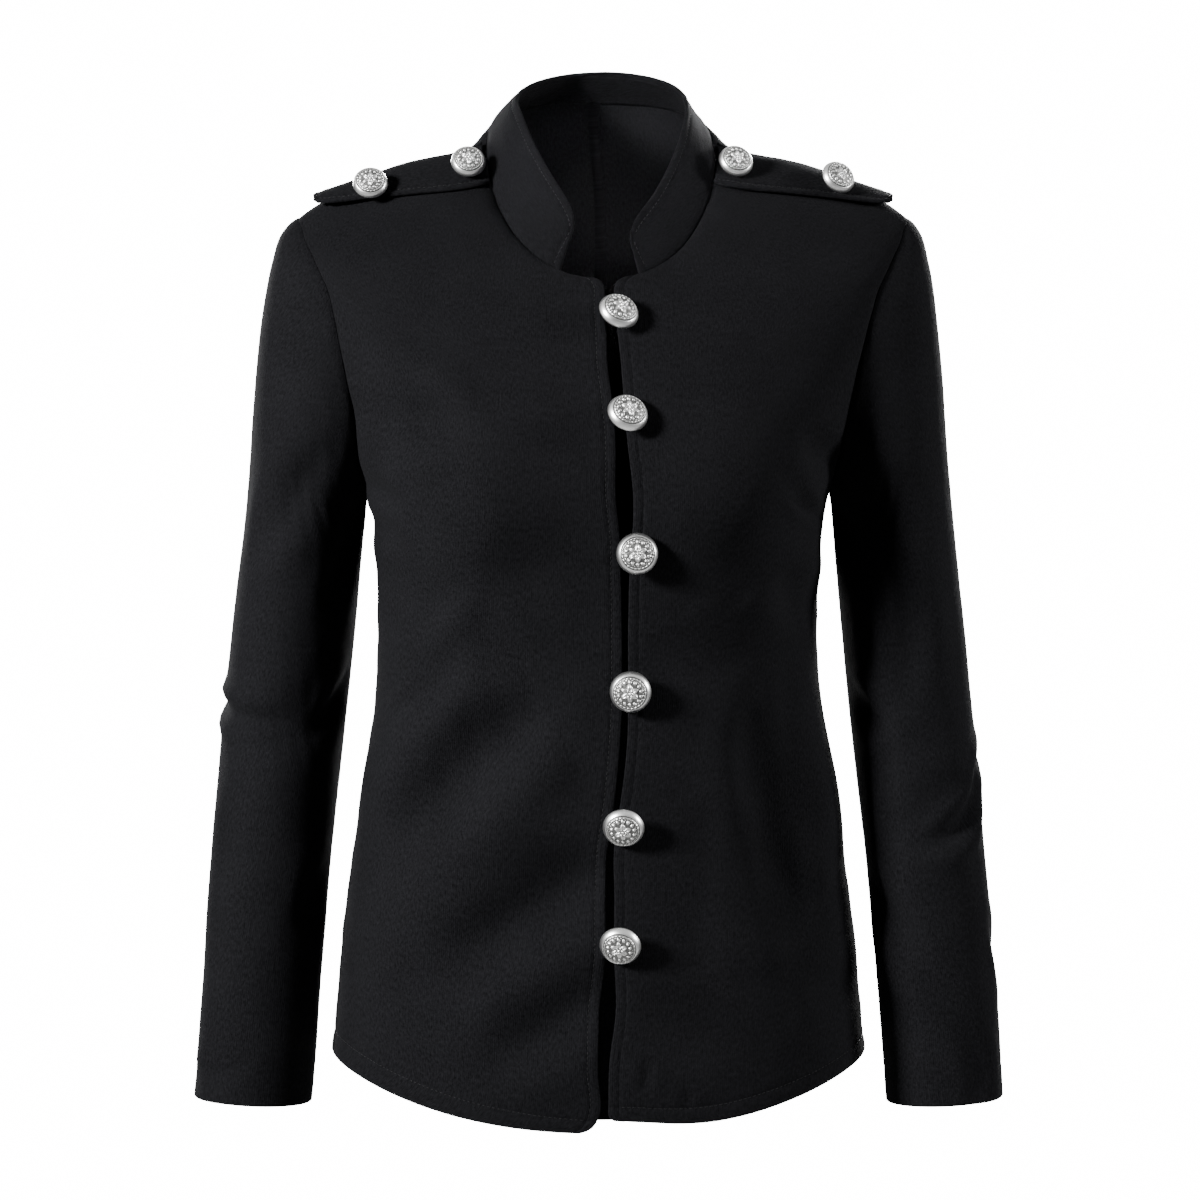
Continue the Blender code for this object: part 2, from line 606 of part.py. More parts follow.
def looking(up, left):
    """Direction that looks this far up and to the wearer's left of straight ahead, degrees."""
    up, left = math.radians(up), math.radians(left)
    return np.array((math.cos(up) * math.sin(left), -math.cos(up) * math.cos(left), math.sin(up)))


def level_at(side, turn, z):
    """Level at which the body passes height z at this turn."""
    low, high = HEM, NECK
    for _ in range(40):
        middle = (low + high) / 2
        if bare_body(side, turn, middle)[2] < z:
            low = middle
        else:
            high = middle
    return (low + high) / 2


def front_buttons():
    for number, seat in enumerate(FRONT_SEATS, 1):
        level = level_at(LEFT, 0.0, seat.z)
        ring = Ring(*through_rows(RINGS, level))
        turn = math.atan((seat.x - ring.shift) / ring.half_width)
        normal = surface_normal(body, LEFT, turn, level)
        axis = looking(seat.up, seat.left)
        button(f"front_button_{number}", FRONT_BUTTON, body(LEFT, turn, level), normal, axis)


def strap_buttons(side, word):
    for seat in STRAP_SEATS:
        if seat.side == side:
            point, normal = strap_place(side, seat.along, seat.across)
            axis = looking(seat.up, seat.left)
            button(f"strap_button_{word}_{seat.end}", STRAP_BUTTON, point, normal, axis)


# ---------------------------------------------------------------- the jacket
clear_scene()
jacket = new_collection("military_jacket")
for side, word in ((RIGHT, "right"), (LEFT, "left")):
    body_panel(f"front_{word}", side, "front", FRONT_COLUMNS)
    body_panel(f"back_{word}", side, "back", BACK_COLUMNS)
    sleeve(f"sleeve_{word}", side)
    strap(f"strap_{word}", side)
    strap_buttons(side, word)
collar("collar")
front_buttons()
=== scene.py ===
"""A women's military jacket in black ribbed cloth with silver shank buttons: its looks on the frame.

Each cloth wall of the frame is read back as rows and columns of points. A finer wall is drawn through
them, creased, seamed and stitched. Lengths in the tables are in millimetres and directions are the
wearer's: RIGHT is the side of -X. The rest is in metres.
"""

import math
from collections import Counter, defaultdict, namedtuple

import bmesh
import bpy
import numpy as np
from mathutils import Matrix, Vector, noise


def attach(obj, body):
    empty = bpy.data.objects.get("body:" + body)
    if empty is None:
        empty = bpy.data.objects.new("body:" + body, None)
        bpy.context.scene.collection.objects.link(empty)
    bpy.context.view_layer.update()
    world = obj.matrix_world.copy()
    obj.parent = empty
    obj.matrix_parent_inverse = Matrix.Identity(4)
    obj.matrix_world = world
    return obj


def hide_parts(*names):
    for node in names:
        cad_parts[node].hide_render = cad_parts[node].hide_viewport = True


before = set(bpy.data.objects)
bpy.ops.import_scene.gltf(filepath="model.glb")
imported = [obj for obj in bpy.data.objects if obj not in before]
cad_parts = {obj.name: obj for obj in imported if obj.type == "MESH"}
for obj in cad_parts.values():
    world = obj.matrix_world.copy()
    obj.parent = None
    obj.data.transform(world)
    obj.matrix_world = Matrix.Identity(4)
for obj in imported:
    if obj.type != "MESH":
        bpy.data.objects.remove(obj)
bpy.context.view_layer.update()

MM = 0.001
RIGHT = -1
LEFT = 1
BODY = "root"
SIDES = {"right": RIGHT, "left": LEFT}

# the view: a long lens in front of the chest, a little above its middle
CAMERA_PLACE = Vector((0.0, -3.0, -0.16))
CAMERA_AIM = Vector((0.0, 0.0, -0.291))
VIEW_WIDTH = 0.78
SENSOR = 36.0

# cloth walls
BODY_CLOTH = 1.6 * MM
COLLAR_CLOTH = 2.4 * MM
STRAP_CLOTH = 2.6 * MM
WELD = 0.01 * MM
# how far apart the cloth's points lie, on large pieces and on small ones
STEP = 3.4 * MM
SMALL_STEP = 2.4 * MM
RING_REACH = 35 * MM

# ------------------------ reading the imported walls


def unit(vectors):
    """Vectors, one or many, made one long."""
    return vectors / np.maximum(np.linalg.norm(vectors, axis=-1, keepdims=True), 1e-12)


def node_mesh(node):
    """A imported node's points, each once, and the triangles between them."""
    mesh = bmesh.new()
    mesh.from_mesh(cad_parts[node].data)
    bmesh.ops.remove_doubles(mesh, verts=mesh.verts, dist=WELD)
    mesh.verts.index_update()
    points = np.array([vert.co[:] for vert in mesh.verts])
    triangles = [tuple(vert.index for vert in face.verts) for face in mesh.faces]
    mesh.free()
    return points, triangles


def across_the_cloth(points, thickness):
    """For each point of a wall, the one on its other face: the one that is the cloth's thickness away."""
    apart = np.linalg.norm(points[:, None] - points[None], axis=2)
    return np.abs(apart - thickness).argmin(axis=1)


def outer_face(node, heart, thickness):
    """The face of a wall that looks away from heart(points): its points and triangles."""
    points, triangles = node_mesh(node)
    through = points - points[across_the_cloth(points, thickness)]
    outside = np.sum(through * (points - heart(points)), axis=1) > 0
    number = np.cumsum(outside) - 1
    kept = [tuple(number[p] for p in t) for t in triangles if all(outside[p] for p in t)]
    return points[outside], kept


def borders(triangles):
    """The closed lines round the triangles, each as the points along it."""
    uses = Counter(frozenset(pair) for a, b, c in triangles for pair in ((a, b), (b, c), (c, a)))
    joins = defaultdict(list)
    for a, b in (tuple(side) for side, count in uses.items() if count == 1):
        joins[a].append(b)
        joins[b].append(a)
    lines = []
    while joins:
        start = min(joins)
        line = [start]
        after = joins[start][0]
        while after != start:
            onward = [p for p in joins[after] if p != line[-1]]
            line.append(after)
            after = onward[0]
        for p in line:
            del joins[p]
        lines.append(line)
    return lines


def steps_from(start, triangles, count):
    """How many sides of triangles lie between each point and the nearest of the start points."""
    links = [set() for _ in range(count)]
    for a, b, c in triangles:
        links[a] |= {b, c}
        links[b] |= {a, c}
        links[c] |= {a, b}
    steps = np.full(count, -1)
    front = list(start)
    steps[front] = 0
    while front:
        reached = sorted({q for p in front for q in links[p] if steps[q] < 0})
        steps[reached] = steps[front[0]] + 1
        front = reached
    return steps, links


def panel_grid(node, heart, thickness, is_corner, along_first_row):
    """A panel's outer face as rows and columns. Its first point is the corner where is_corner is highest,
    and the first row, a short one, leaves it the way in which along_first_row grows."""
    points, triangles = outer_face(node, heart, thickness)
    line = borders(triangles)[0]
    half = len(line) // 2 + 2
    short = round((half - math.sqrt(half * half - 4 * len(points))) / 2)
    for corner in sorted(line, key=lambda p: -is_corner(points[p])):
        start = line.index(corner)
        turned = line[start:] + line[:start]
        ways = (turned, turned[:1] + turned[:0:-1])
        border = max(ways, key=lambda way: along_first_row(points[way[short - 1]]))
        row, _ = steps_from(border[:short], triangles, len(points))
        column, _ = steps_from(border[short - 1: half - 1], triangles, len(points))
        if len(set(zip(row, column))) == len(points) and column.max() == short - 1:
            grid = np.zeros((half - short, short, 3))
            grid[row, column] = points
            return grid
    raise ValueError(node + " isn't one grid of rows and columns")


def sleeve_grid(node, side):
    """A sleeve's outer face as rings from the cuff up, each from its inmost point round by the front."""
    points, triangles = outer_face(node, ring_middles, BODY_CLOTH)
    cuff = min(borders(triangles), key=lambda line: points[line][:, 2].mean())
    row, links = steps_from(cuff, triangles, len(points))
    start = min(cuff, key=lambda p: side * points[p][0])
    rings = []
    for level in range(row.max() + 1):
        if level:
            start = min((p for p in links[start] if row[p] == level),
                        key=lambda p: np.linalg.norm(points[p] - points[start]))
        ring = [start]
        beside = [p for p in links[start] if row[p] == level]
        after = min(beside, key=lambda p: points[p][1])
        while after != start:
            onward = [p for p in links[after] if row[p] == level and p not in ring[-1:]]
            ring.append(after)
            after = onward[0]
        rings.append(points[ring])
    return np.array(rings)


def ring_middles(points):
    """For each point of a sleeve, the middle of what lies near its height."""
    near = np.abs(points[:, None, 2] - points[None, :, 2]) < RING_REACH
    return np.array([points[row].mean(axis=0) for row in near])


# ------------------------ finer surfaces through the grids

Surface = namedtuple("Surface", "points from_first from_last from_start from_end closed")


def runs_along(points, closed=False):
    """Distance run along a line of points, from its first, and back to it where it is closed."""
    if closed:
        points = np.concatenate((points, points[:1]))
    return np.concatenate(((0.0,), np.cumsum(np.linalg.norm(np.diff(points, axis=0), axis=1))))


def through(points, places, closed=False):
    """A smooth line through points, read at distances along it."""
    knots = runs_along(points, closed)
    if closed:
        points = np.concatenate((points[-1:], points, points[:2]))
        knots = np.concatenate(((knots[-2] - knots[-1],), knots, (knots[-1] + knots[1],)))
    gap = np.diff(knots)[:, None]
    slope = np.diff(points, axis=0) / gap
    middle = (slope[:-1] * gap[1:] + slope[1:] * gap[:-1]) / (gap[:-1] + gap[1:])
    tangent = np.concatenate((2 * slope[:1] - middle[:1], middle, 2 * slope[-1:] - middle[-1:]))
    at = np.clip(np.searchsorted(knots, places, side="right") - 1, 0, len(knots) - 2)
    width = gap[at]
    t = (places[:, None] - knots[at, None]) / width
    return ((2 * t ** 3 - 3 * t ** 2 + 1) * points[at] + (t ** 3 - 2 * t ** 2 + t) * width * tangent[at]
            + (3 * t ** 2 - 2 * t ** 3) * points[at + 1] + (t ** 3 - t ** 2) * width * tangent[at + 1])


def spaced(length, count, start, end):
    """Places along a length: those named from its start and before its end, and count more between."""
    start = np.array((0.0,) + start) * MM
    end = length - np.array((0.0,) + end)[::-1] * MM
    return np.concatenate((start[:-1], np.linspace(start[-1], end[0], count + 2), end[1:]))


def refined(lines, step, start=(), end=(), closed=False):
    """Each line of points drawn anew with places about a step apart, the same number on every line."""
    lengths = [runs_along(line, closed)[-1] for line in lines]
    fixed = (sum(start[-1:]) + sum(end[-1:])) * MM
    count = int(max(2, (np.mean(lengths) - fixed) / step))
    return np.array([through(line, spaced(length, count, start, end), closed)
                     for line, length in zip(lines, lengths)])


def fine_surface(grid, row_ends, column_ends=((), ()), closed=False, step=STEP):
    """The grid's surface with points about a step apart, and each point's distance from the first and
    last column along its row and from the first and last row along its column. The ends name the rows
    and columns that lie at set distances from those borders, in millimetres."""
    columns = refined(np.swapaxes(grid, 0, 1), step, *row_ends)
    points = refined(np.swapaxes(columns, 0, 1), step, *column_ends, closed=closed)
    if closed:
        points = points[:, :-1]
    across = np.array([runs_along(row) for row in points])
    along = np.array([runs_along(column) for column in np.swapaxes(points, 0, 1)]).T
    return Surface(points, across, across[:, -1:] - across, along, along[-1:] - along, closed)


def normals_of(points, closed, heart):
    """Unit normals of a surface, all turned away from its heart."""
    if closed:
        wide = np.concatenate((points[:, -1:], points, points[:, :1]), axis=1)
        across = wide[:, 2:] - wide[:, :-2]
    else:
        across = np.gradient(points, axis=1)
    normals = unit(np.cross(across, np.gradient(points, axis=0)))
    flat = points.reshape(-1, 3)
    facing = np.sum(normals.reshape(-1, 3) * (flat - heart(flat)), axis=1).mean()
    return normals if facing > 0 else -normals


# ------------------------ folds, seams and unevenness

# A fold runs through three points of the cloth seen from in front, x outward from the middle on its own
# side. Its depth sinks the cloth, or raises it where negative, and its ridge raises the cloth beside it.
# Each row of the tables is one fold.
Fold = namedtuple("Fold", "x1 z1 x2 z2 x3 z3 half_width depth ridge")
BODY_FOLDS = {
    "front_right": (
        (34, -355, 74, -387, 140, -455, 19, 7.7, 4.9),
        (-4, -453, 46, -481, 124, -542, 21, 7.4, 4.3),
        (0, -527, 34, -553, 74, -579, 17, 5.5, 3.5),
        (78, -281, 94, -311, 110, -345, 13, -5.3, 0.0),
        (110, -340, 122, -354, 132, -364, 4, 2.2, 1.3),
        (87, -306, 102, -335, 118, -366, 10, 3.4, 1.7),
        (124, -166, 105, -174, 83, -182, 14, 4.3, 2.3),
        (147, -210, 137, -221, 123, -229, 6, 2.6, 2.0),
        (148, -229, 138, -243, 124, -255, 8, 2.2, 1.3),
        (12, -383, 62, -412, 112, -469, 17, -3.4, 0.0),
        (62, -507, 102, -527, 132, -555, 16, -2.9, 0.0),
        (21, -258, 51, -270, 79, -276, 18, 1.9, 1.2),
    ),
    "front_left": (
        (98, -348, 108, -426, 138, -488, 15, 8.4, 3.6),
        (60, -407, 100, -469, 134, -501, 17, 7.0, 3.1),
        (118, -333, 128, -410, 152, -461, 11, 4.6, 2.2),
        (118, -267, 124, -285, 126, -305, 13, 4.6, 1.9),
        (132, -183, 142, -195, 152, -201, 11, 5.1, 2.2),
        (122, -224, 131, -230, 142, -238, 4, 2.2, 1.1),
        (114, -210, 126, -222, 134, -234, 5, 1.6, 1.0),
        (132, -525, 146, -535, 158, -545, 12, 3.2, 1.4),
        (28, -572, 29, -584, 27, -595, 3.6, 2.3, 1.1),
        (54, -591, 54, -599, 56, -607, 3, 1.9, 0.8),
        (28, -527, 50, -555, 92, -569, 17, 3.0, 1.2),
        (32, -307, 58, -325, 100, -331, 16, 2.4, 1.1),
    ),
    "back_right": (
        (18, -280, 66, -300, 128, -322, 13, 3.8, 1.8),
        (30, -330, 80, -352, 134, -368, 14, 4.6, 2.1),
        (24, -398, 76, -432, 136, -492, 18, 4.4, 2.0),
        (140, -150, 118, -170, 96, -196, 13, 4.0, 1.9),
        (148, -190, 130, -206, 104, -226, 9, 3.0, 1.5),
        (8, -60, 40, -58, 78, -48, 11, 2.2, 0.9),
        (20, -560, 40, -590, 44, -622, 17, 2.4, 1.2),
        (50, -196, 56, -236, 46, -270, 20, -2.6, 0.0),
    ),
    "back_left": (
        (14, -292, 70, -314, 132, -330, 14, 4.2, 1.9),
        (40, -352, 88, -378, 138, -430, 15, 4.2, 2.0),
        (18, -426, 60, -470, 118, -520, 17, 3.6, 1.8),
        (142, -160, 122, -176, 92, -200, 13, 3.6, 1.8),
        (150, -204, 134, -222, 112, -250, 8, 2.4, 1.3),
        (12, -70, 44, -66, 80, -54, 11, 1.9, 0.9),
        (70, -570, 84, -600, 82, -630, 16, 2.2, 1.0),
        (54, -206, 62, -240, 56, -276, 19, -2.2, 0.0),
    ),
}
# On a sleeve the first number of each point is the share of the way round, from the side at the body by
# the front, and the second is the height.
SLEEVE_FOLDS = {
    "right": (
        (0.54, -352, 0.42, -362, 0.22, -368, 6, 4.0, 2.6),
        (0.20, -192, 0.28, -226, 0.38, -268, 16, 3.6, 2.0),
        (0.03, -220, 0.10, -262, 0.15, -300, 12, 2.4, 1.2),
        (0.01, -330, 0.08, -358, 0.15, -372, 9, 3.2, 1.6),
        (0.02, -452, 0.09, -480, 0.16, -500, 14, 2.2, 1.1),
        (0.26, -586, 0.40, -598, 0.50, -596, 8, 1.6, 0.9),
        (0.34, -420, 0.40, -470, 0.36, -520, 16, 1.6, 0.8),
        (0.60, -300, 0.74, -330, 0.90, -338, 9, 3.6, 1.8),
        (0.64, -362, 0.78, -378, 0.94, -384, 8, 3.8, 2.0),
        (0.66, -430, 0.80, -452, 0.92, -480, 12, 2.8, 1.4),
        (0.66, -170, 0.76, -200, 0.90, -214, 12, 3.2, 1.6),
        (0.70, -560, 0.80, -590, 0.78, -624, 13, 2.0, 1.0),
    ),
    "left": (
        (0.44, -402, 0.36, -432, 0.22, -446, 8, 4.8, 3.2),
        (0.52, -384, 0.46, -396, 0.38, -412, 6, 2.6, 1.4),
        (0.20, -250, 0.24, -300, 0.22, -352, 14, 3.4, 1.8),
        (0.03, -220, 0.10, -256, 0.16, -280, 12, 2.4, 1.2),
        (0.02, -340, 0.10, -362, 0.17, -372, 9, 3.2, 1.6),
        (0.03, -470, 0.13, -500, 0.26, -540, 14, 3.6, 2.0),
        (0.28, -560, 0.34, -590, 0.30, -618, 11, 2.4, 1.3),
        (0.44, -500, 0.50, -520, 0.56, -548, 10, 1.8, 0.9),
        (0.62, -310, 0.76, -334, 0.92, -346, 9, 3.8, 1.9),
        (0.64, -372, 0.80, -392, 0.94, -398, 8, 3.4, 1.7),
        (0.64, -448, 0.78, -470, 0.92, -500, 12, 2.8, 1.4),
        (0.66, -180, 0.78, -206, 0.90, -224, 12, 3.0, 1.5),
    ),
}
PATH_STEPS = 14


def fold_relief(across, up, row, across_scale=1.0):
    """How far a row's fold raises the cloth at points (across, up), in millimetres."""
    fold = Fold(*row)
    t = np.linspace(0, 1, PATH_STEPS)
    bend_x = 2 * fold.x2 - (fold.x1 + fold.x3) / 2
    bend_z = 2 * fold.z2 - (fold.z1 + fold.z3) / 2
    path_x = ((1 - t) ** 2 * fold.x1 + 2 * t * (1 - t) * bend_x + t ** 2 * fold.x3) * across_scale
    path_z = (1 - t) ** 2 * fold.z1 + 2 * t * (1 - t) * bend_z + t ** 2 * fold.z3
    nearest = np.full(across.shape, np.inf)
    share = np.zeros(across.shape)
    for step in range(PATH_STEPS - 1):
        run_x = path_x[step + 1] - path_x[step]
        run_z = path_z[step + 1] - path_z[step]
        reach = (across - path_x[step]) * run_x + (up - path_z[step]) * run_z
        reach = np.clip(reach / (run_x ** 2 + run_z ** 2), 0, 1)
        away = np.hypot(across - path_x[step] - reach * run_x, up - path_z[step] - reach * run_z)
        closer = away < nearest
        nearest = np.where(closer, away, nearest)
        share = np.where(closer, (step + reach) / (PATH_STEPS - 1), share)
    fade = np.sin(np.pi * np.clip(share, 0.02, 0.98)) ** 0.7
    wide = nearest / (fold.half_width * (0.55 + 0.45 * fade))
    return fade * (fold.ridge * np.exp(-(wide - 1.9) ** 2) - fold.depth * np.exp(-wide ** 2))


def unevenness(points, seed, coarse=0.55, fine=0.1):
    """Slight wandering of cloth that is smooth but not pressed flat, in millimetres."""
    shift = Vector((seed * 3.7, seed * 1.3, seed * 2.9))
    made = []
    for point in points.reshape(-1, 3):
        place = Vector(point)
        made.append(coarse * noise.noise(place / (55 * MM) + shift)
                    + fine * noise.noise(place / (11 * MM) - shift))
    return np.array(made).reshape(points.shape[:2])


def seam_relief(away, along, seed):
    """Cloth beside a seam: pulled in at its line, full over the turnings, and slightly puckered."""
    away = away / MM
    pull = -0.5 * np.exp(-(away / 1.1) ** 2) + 0.3 * np.exp(-((away - 6.0) / 3.6) ** 2)
    swing = np.sin(along / MM / 4.1 + seed) + 0.7 * np.sin(along / MM / 6.7 + 2.1 * seed)
    return pull + 0.16 * swing * np.exp(-((away - 5.0) / 5.0) ** 2)


def stitched_relief(away, along, inset, seed):
    """Cloth at a stitched edge: drawn in along the stitches, and full between them and the edge."""
    away = away / MM
    swing = np.sin(along / MM / 2.3 + seed) + 0.8 * np.sin(along / MM / 3.9 + 1.7 * seed)
    line = -0.42 * np.exp(-((away - inset) / 0.9) ** 2)
    full = 0.32 * np.exp(-((away - inset * 0.5) / (inset * 0.32)) ** 2)
    beyond = 0.18 * np.exp(-((away - inset - 3.2) / 2.2) ** 2)
    return line + full + beyond + 0.09 * swing * np.exp(-((away - inset) / 3.0) ** 2)


# ------------------------ meshes


def wall_mesh(name, outer, inner, surface):
    """A closed cloth wall between two faces of the same rows and columns. Its UV map holds the distance
    across and along the cut, in metres."""
    rows, columns = outer.shape[:2]
    index = np.arange(rows * columns).reshape(rows, columns)
    uv = np.stack((surface.from_first, surface.from_start), axis=-1)
    if surface.closed:
        index = np.concatenate((index, index[:, :1]), axis=1)
        gap = np.linalg.norm(outer[:, 0] - outer[:, -1], axis=1)
        last = np.stack((surface.from_first[:, -1] + gap, surface.from_start[:, 0]), axis=-1)
        uv = np.concatenate((uv, last[:, None]), axis=1)

    def quads(grid):
        return np.stack((grid[:-1, :-1], grid[:-1, 1:], grid[1:, 1:], grid[1:, :-1]), axis=2)

    count = rows * columns
    outside = quads(index).reshape(-1, 4)
    outside_uv = quads(uv).reshape(-1, 4, 2)
    faces = [outside, outside[:, ::-1] + count]
    uvs = [outside_uv, outside_uv[:, ::-1]]
    for line, line_uv in rims(index, uv, surface.closed):
        faces.append(np.stack((line[1:], line[:-1], line[:-1] + count, line[1:] + count), axis=-1))
        uvs.append(np.stack((line_uv[1:], line_uv[:-1], line_uv[:-1], line_uv[1:]), axis=1))
    mesh = bpy.data.meshes.new(name)
    mesh.from_pydata(np.concatenate((outer.reshape(-1, 3), inner.reshape(-1, 3))), [],
                     np.concatenate(faces).tolist())
    layer = mesh.uv_layers.new(name="cut")
    layer.data.foreach_set("uv", np.concatenate(uvs).reshape(-1).astype(np.float32))
    mesh.shade_smooth()
    return mesh


def rims(index, uv, closed):
    """The border lines of the grid of points, in the order that its faces go round it."""
    yield index[0], uv[0]
    yield index[-1, ::-1], uv[-1, ::-1]
    if not closed:
        yield index[::-1, 0], uv[::-1, 0]
        yield index[:, -1], uv[:, -1]


def turned_out(mesh):
    """The mesh with its faces all looking out."""
    made = bmesh.new()
    made.from_mesh(mesh)
    if made.calc_volume(signed=True) < 0:
        bmesh.ops.reverse_faces(made, faces=made.faces)
    made.to_mesh(mesh)
    made.free()
    return mesh


def piece(name, mesh, material):
    """An object of the jacket that rides with its body."""
    made = bpy.data.objects.new(name, mesh)
    bpy.context.scene.collection.objects.link(made)
    mesh.materials.append(material)
    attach(made, BODY)
    return made


# How far a hidden seam turning runs on, step by step, and how deep it lies under its neighbour's cloth
TURNING_RUN = (0.5 * MM, 5.0 * MM)
TURNING_DEPTH = 2.1 * MM
# How much of its thickness a wall's two faces are each drawn in by, at free edges and at seams
ROLLED = 0.3
SEAM_ROLLED = 0.08
# How far in from a panel's rounded corner the direction of the cloth is taken, in millimetres
PANEL_CORNER = 16.0
STRAP_CORNER = 6.0


def turned_under(surface, heart, axis, place):
    """A surface carried on past a seam, as a turning that lies under the cloth on its other side."""
    lines = np.swapaxes(surface.points, 0, axis)
    normals = np.swapaxes(normals_of(surface.points, surface.closed, heart), 0, axis)[place]
    onward = unit(lines[place] - lines[1 if place == 0 else -2])
    at = 0 if place == 0 else surface.points.shape[axis]
    points = surface.points
    others = [surface.from_first, surface.from_last, surface.from_start, surface.from_end]
    for run in TURNING_RUN:
        added = lines[place] + onward * run - normals * TURNING_DEPTH
        points = np.insert(points, at, added, axis=axis)
        others = [np.insert(values, at, np.take(values, place, axis=axis), axis=axis)
                  for values in others]
        at += 0 if place == 0 else 1
    return Surface(points, *others, surface.closed)


def rounded_corners(surface, radius, ends):
    """Draws the named corners of a surface in to a round of the given radius, in millimetres."""
    for row_end, column_end in ends:
        up = (surface.from_start if row_end == 0 else surface.from_end) / MM / radius
        across = (surface.from_first if column_end == 0 else surface.from_last) / MM / radius
        u = np.clip(1 - across, 0, 1)
        v = np.clip(1 - up, 0, 1)
        inward = unit(np.gradient(surface.points, axis=1)) * (1 if column_end == 0 else -1)
        upward = unit(np.gradient(surface.points, axis=0)) * (1 if row_end == 0 else -1)
        surface.points[...] += inward * ((u - u * np.sqrt(1 - v * v / 2)) * radius * MM)[..., None]
        surface.points[...] += upward * ((v - v * np.sqrt(1 - u * u / 2)) * radius * MM)[..., None]


def steadied(normals, surface, reach):
    """The normals of a surface, taken from further in where its corners are so round that its rows and
    columns run along one line."""
    if surface.closed:
        return normals
    made = normals.copy()
    for up in (surface.from_start, surface.from_end):
        for across in (surface.from_first, surface.from_last):
            apart = np.maximum(up, across) / MM / reach
            well_in = np.abs(up / MM - reach) + np.abs(across / MM - reach)
            steady = normals[np.unravel_index(np.argmin(well_in), well_in.shape)]
            share = eased(apart)[..., None]
            made = np.where(share < 1, unit(made * share + steady * (1 - share)), made)
    return made


def cloth_wall(node, surface, relief, thickness, heart, corners=PANEL_CORNER, seams=()):
    """The wall of one cut piece, raised or sunk by relief in millimetres, in place of its node.
    Returns its outer points and their normals, for what is sewn on."""
    normals = steadied(normals_of(surface.points, surface.closed, heart), surface, corners)
    outer = surface.points + normals * relief[..., None] * MM
    normals = steadied(normals_of(outer, surface.closed, heart), surface, corners)
    thickness = np.broadcast_to(thickness, relief.shape)[..., None]
    rolled = np.zeros(relief.shape + (1,))
    for axis in (0,) if surface.closed else (0, 1):
        for place in (0, -1):
            np.swapaxes(rolled, 0, axis)[place] = SEAM_ROLLED if (axis, place) in seams else ROLLED
    inner = outer - normals * thickness * (1 - rolled)
    outer = outer - normals * thickness * rolled
    made = piece("cloth_" + node, turned_out(wall_mesh(node, outer, inner, surface)), BLACK_CLOTH)
    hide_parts(node)
    return outer, normals


# ------------------------ stitches

STITCH_LENGTH = 2.5
STITCH_PITCH = 3.3
THREAD_RADIUS = 0.24
# along one stitch: how far the thread's middle lies above the cloth, and its share of the full radius
THREAD_RISE = (-0.2, 0.1, 0.2, 0.2, 0.1, -0.2)
THREAD_TAPER = (0.55, 0.95, 1.0, 1.0, 0.95, 0.55)
THREAD_SIDES = 6


def stitch_points(path, normals):
    """Rings of thread points for the stitches along a line on the cloth."""
    run = runs_along(path)
    places = np.arange(0.6 * STITCH_PITCH * MM, run[-1] - STITCH_PITCH * MM, STITCH_PITCH * MM)
    shares = np.linspace(0, 1, len(THREAD_RISE))
    at = places[:, None] + shares * STITCH_LENGTH * MM
    centre = np.stack([np.interp(at, run, path[:, axis]) for axis in range(3)], axis=-1)
    up = unit(np.stack([np.interp(at, run, normals[:, axis]) for axis in range(3)], axis=-1))
    onward = unit(centre[:, -1:] - centre[:, :1])
    aside = unit(np.cross(onward, up))
    centre = centre + up * (np.array(THREAD_RISE) * MM)[None, :, None]
    thick = THREAD_RADIUS * MM * np.array(THREAD_TAPER)
    turn = np.linspace(0, 2 * math.pi, THREAD_SIDES, endpoint=False)
    ring = np.cos(turn)[:, None] * aside[:, :, None] + np.sin(turn)[:, None] * up[:, :, None]
    return centre[:, :, None] + ring * thick[None, :, None, None]


def stitches(node, outer, normals, *lines):
    """All the stitches of one cut piece as a single mesh, along lines of its points."""
    rings = np.concatenate([stitch_points(outer[line], normals[line]) for line in lines])
    count, steps, sides = rings.shape[:3]
    index = np.arange(count * steps * sides).reshape(count, steps, sides)
    wrapped = np.concatenate((index, index[:, :, :1]), axis=2)
    tube = np.stack((wrapped[:, :-1, :-1], wrapped[:, :-1, 1:],
                     wrapped[:, 1:, 1:], wrapped[:, 1:, :-1]), axis=-1)
    faces = tube.reshape(-1, 4).tolist() + index[:, 0, ::-1].tolist() + index[:, -1].tolist()
    mesh = bpy.data.meshes.new("stitches_" + node)
    mesh.from_pydata(rings.reshape(-1, 3), [], faces)
    mesh.shade_smooth()
    piece("stitches_" + node, turned_out(mesh), THREAD)


# ------------------------ materials


def new_material(name):
    """A material with a Principled shader: the material, its node tree and the shader."""
    made = bpy.data.materials.new(name)
    made.use_nodes = True
    return made, made.node_tree, made.node_tree.nodes["Principled BSDF"]


def feed(tree, node, inputs):
    """Sets a node's inputs, named or numbered, or joins them to other nodes' outputs."""
    for name, value in inputs.items():
        if isinstance(value, bpy.types.NodeSocket):
            tree.links.new(value, node.inputs[name])
        else:
            node.inputs[name].default_value = value


def add(tree, kind, inputs):
    """A shader node with its inputs fed."""
    made = tree.nodes.new(kind)
    feed(tree, made, inputs)
    return made


def noise_grain(tree, inputs):
    """The value of a Noise Texture node."""
    return add(tree, "ShaderNodeTexNoise", inputs).outputs["Fac"]


def maths(tree, operation, first, second=0.0):
    """What one Math node gives."""
    made = add(tree, "ShaderNodeMath", {0: first, 1: second})
    made.operation = operation
    return made.outputs[0]


def ramp(tree, factor, stops):
    """A colour ramp's output, with stops of (place, colour)."""
    made = add(tree, "ShaderNodeValToRGB", {"Fac": factor})
    elements = made.color_ramp.elements
    for number, (place, colour) in enumerate(stops):
        element = elements[number] if number < 2 else elements.new(place)
        element.position = place
        element.color = (*colour, 1)
    return made.outputs["Color"]


